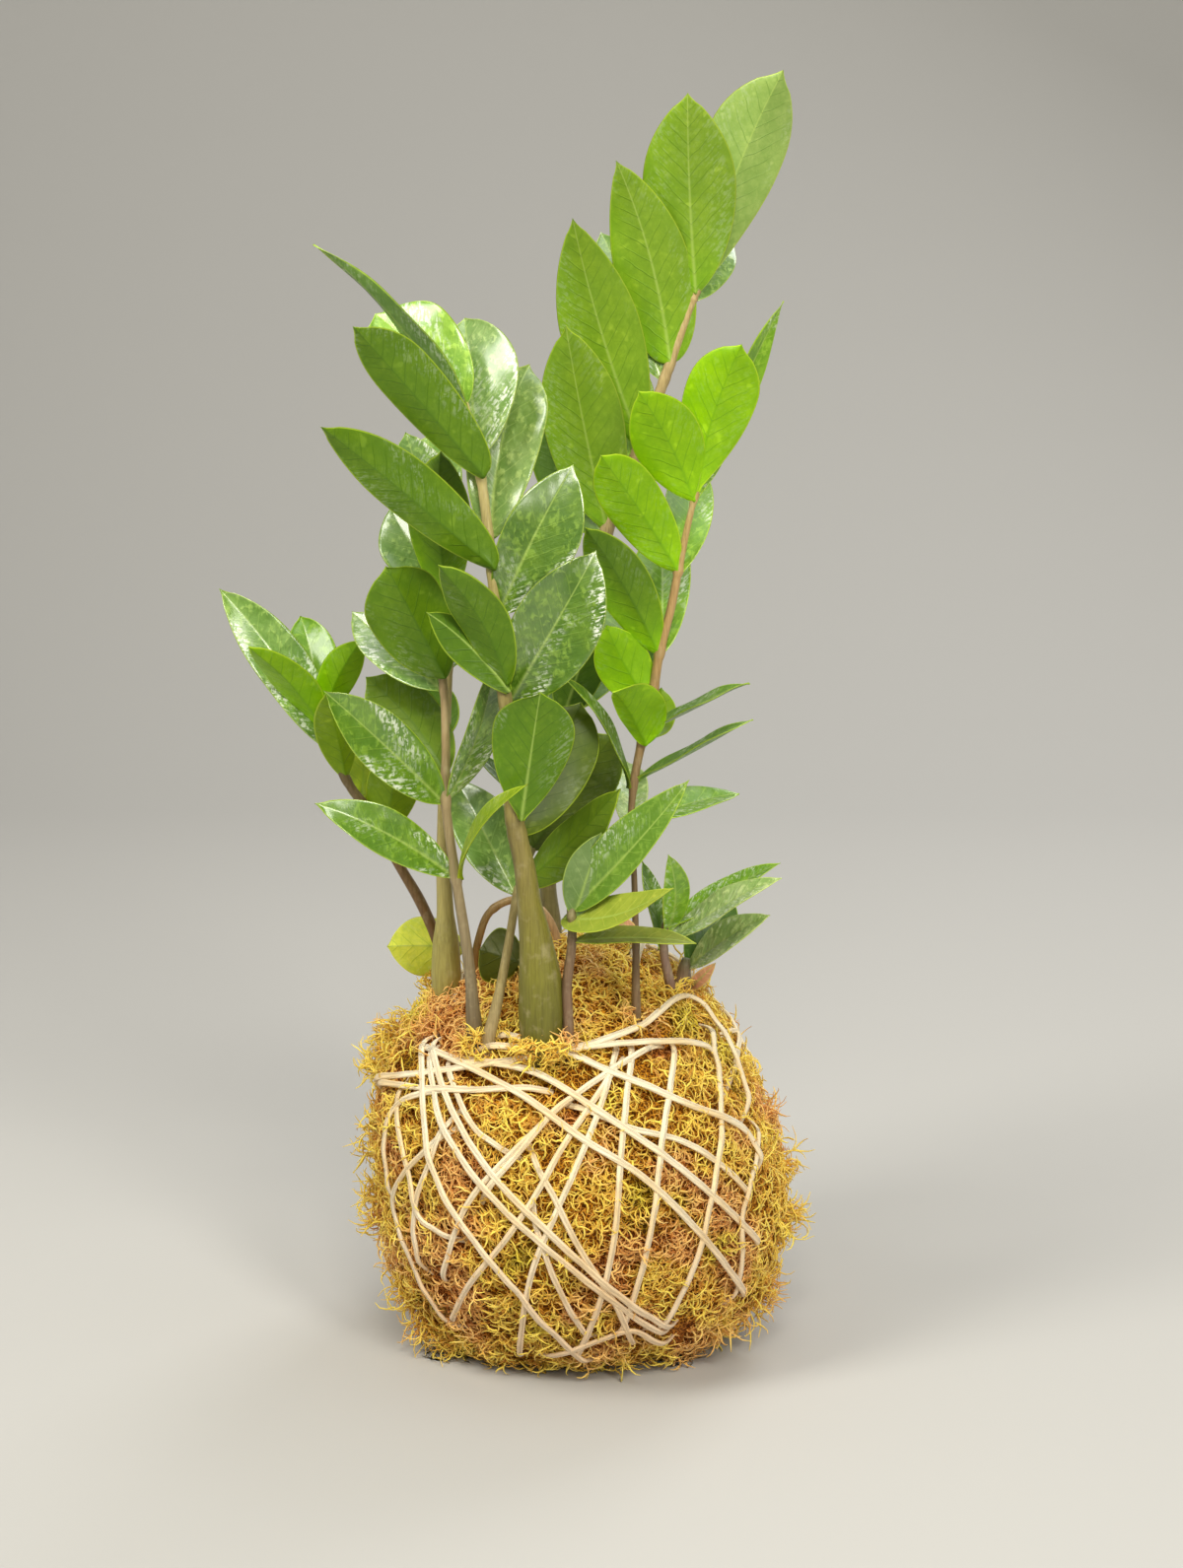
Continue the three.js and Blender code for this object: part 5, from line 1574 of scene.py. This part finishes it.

# %% [markdown]
# Here and there a tuft stands out from the ball and breaks its outline. Each grows on a small disc that
# lies a little over the packed moss, at a place written by the picture pixel where the tuft is seen.

# %% Tufts that stand out
# Each tuft: the picture pixel where it is seen, and its radius in mm.
TUFTS = [
    (366, 1066, 5), (372, 1052, 6), (386, 1046, 6), (402, 1042, 5), (428, 1046, 4), (440, 1040, 4),
    (374, 1160, 4.5), (370, 1218, 5), (380, 1243, 4), (402, 1322, 5), (424, 1352, 4), (442, 1378, 4.5),
    (500, 1396, 4), (560, 1400, 4), (640, 1396, 4), (692, 1386, 5), (738, 1352, 4), (768, 1330, 4.5),
    (800, 1322, 5), (806, 1240, 5), (804, 1180, 4), (782, 1130, 3.5), (716, 978, 3.5), (702, 984, 3),
]
TUFT_SIDES = 8
TUFT_STANDS_OUT = 2.6
TUFT_LOWEST = 3.0
tuft_points, tuft_faces = [], []
for x, y, size in TUFTS:
    outward = on_ball((x, y))
    middle = outward * (packed_radius(outward) + TUFT_STANDS_OUT) + BALL_MIDDLE
    middle.z = max(middle.z, TUFT_LOWEST)
    right = outward.cross(DEPTHWARD).normalized()
    over = outward.cross(right)
    start = len(tuft_points)
    for side in range(TUFT_SIDES):
        angle = 2 * math.pi * side / TUFT_SIDES
        tuft_points.append((middle + (right * math.cos(angle) + over * math.sin(angle)) * size) * MM)
    tuft_faces.append(tuple(range(start, start + TUFT_SIDES)))
tuft_mesh = mesh_of("tuft_discs", tuft_points, tuft_faces)
grow_moss("moss_tufts", tuft_mesh, Density=900000.0, Length=0.0098, Thickness=0.00056, Tilt=1.3, Seed=41)

# %% [markdown]
# Inside, the soil ball and the rhizomes stay as the CAD model has them. Nothing of them shows, but each
# gets its own finish: crumbs of dark soil, and the pale ringed skin of a root.

# %% The soil and the rhizomes
soil_finish, tree, shader = open_material("soil", IOR=1.35)
coords = own_place(tree)
crumbs = add_node(tree, "ShaderNodeTexVoronoi", {"Vector": coords, "Scale": 420.0}).outputs["Distance"]
damp = noise_at(tree, coords, 60, 3.0)
dampness = ramp_between(tree, damp, 0.35, 0.65)
feed(
    tree,
    shader,
    Base_Color=mix_colours(tree, dampness, (0.03, 0.018, 0.01, 1), (0.085, 0.055, 0.03, 1)),
    Roughness=ramp_between(tree, damp, 0.3, 0.7, 0.75, 1.0),
    Normal=bump(tree, crumbs, 0.0015, 0.9),
)

root_finish, tree, shader = open_material("rhizome", IOR=1.4)
coords = own_place(tree)
ringed = {"Vector": coords, "Scale": 90.0, "Distortion": 3.0}
rings = add_node(tree, "ShaderNodeTexWave", ringed).outputs["Fac"]
spots = noise_at(tree, coords, 150, 3.0)
spottedness = ramp_between(tree, spots, 0.35, 0.7)
feed(
    tree,
    shader,
    Base_Color=mix_colours(tree, spottedness, (0.42, 0.32, 0.16, 1), (0.22, 0.15, 0.08, 1)),
    Roughness=ramp_between(tree, spots, 0.3, 0.7, 0.5, 0.75),
    Normal=bump(tree, rings, 0.0006, 0.6),
)
for node, finish in (("soil_ball", soil_finish), ("rhizomes", root_finish)):
    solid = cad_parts[node]
    solid.data.materials.clear()
    solid.data.materials.append(finish)
print("soil and rhizomes finished")

# %% [markdown]
# The stage is a pale sheet that lies flat under the ball and sweeps up behind it. Large soft lamps light
# the plant from the front, above and the sides, as in a light tent, and one from behind lets the thin
# leaves glow at their margins.

# %% The stage and the light
STAGE_FRONT, STAGE_BEND, STAGE_BACK = -2.5, 0.8, 1.5
STAGE_SIDE, STAGE_TOP = 3.5, 3.2
BEND_RADIUS = 0.7
STAGE_COLOUR = (0.5, 0.49, 0.47, 1)
stage_rows = [(STAGE_FRONT, 0.0), (STAGE_BEND, 0.0)]
for angle in np.linspace(0.1, math.pi / 2, 12):
    bent = STAGE_BEND + BEND_RADIUS * math.sin(angle), BEND_RADIUS - BEND_RADIUS * math.cos(angle)
    stage_rows.append(bent)
stage_rows.append((STAGE_BACK, STAGE_TOP))
stage_points = [(side, y, z) for y, z in stage_rows for side in (-STAGE_SIDE, STAGE_SIDE)]
stage_faces = [(2 * row, 2 * row + 1, 2 * row + 3, 2 * row + 2) for row in range(len(stage_rows) - 1)]
stage = add_object("stage", mesh_of("stage", stage_points, stage_faces, smooth=True))
stage_finish, tree, shader = open_material("stage", Roughness=0.9, Base_Color=STAGE_COLOUR)
stage.data.materials.append(stage_finish)


def add_lamp(name, place, size, power, light=(1, 1, 1)):
    """Adds a soft lamp that shines on the plant's middle."""
    lamp = bpy.data.lights.new(name, "AREA")
    lamp.shape = "RECTANGLE"
    lamp.size, lamp.size_y = size
    lamp.energy = power
    lamp.color = light
    carrier = add_object(name, lamp)
    carrier.location = place
    carrier.rotation_euler = (PLANT_MIDDLE - Vector(place)).to_track_quat("-Z", "Y").to_euler()
    carrier.visible_camera = False


PLANT_MIDDLE = Vector((0, 0, 0.2))
WARM = (1, 0.975, 0.89)
SKY_COLOUR = (0.97, 0.95, 0.86, 1)
SKY_STRENGTH = 0.16
add_lamp("lamp_front_above", (0.05, -1.15, 1.25), (0.5, 0.3), 10, WARM)
add_lamp("lamp_left", (-0.8, -0.5, 1.15), (0.35, 0.9), 12, WARM)
add_lamp("lamp_right_front", (0.62, -1.1, 0.9), (0.28, 0.9), 11, WARM)
add_lamp("lamp_above", (0.1, 0.1, 1.4), (0.8, 0.8), 4)
add_lamp("lamp_behind", (0.6, 0.85, 1.0), (0.6, 0.6), 6)
world = bpy.data.worlds.new("studio")
world.use_nodes = True
sky = world.node_tree.nodes["Background"].inputs
sky["Color"].default_value = SKY_COLOUR
sky["Strength"].default_value = SKY_STRENGTH
scene.world = world
scene.view_settings.view_transform = "Standard"
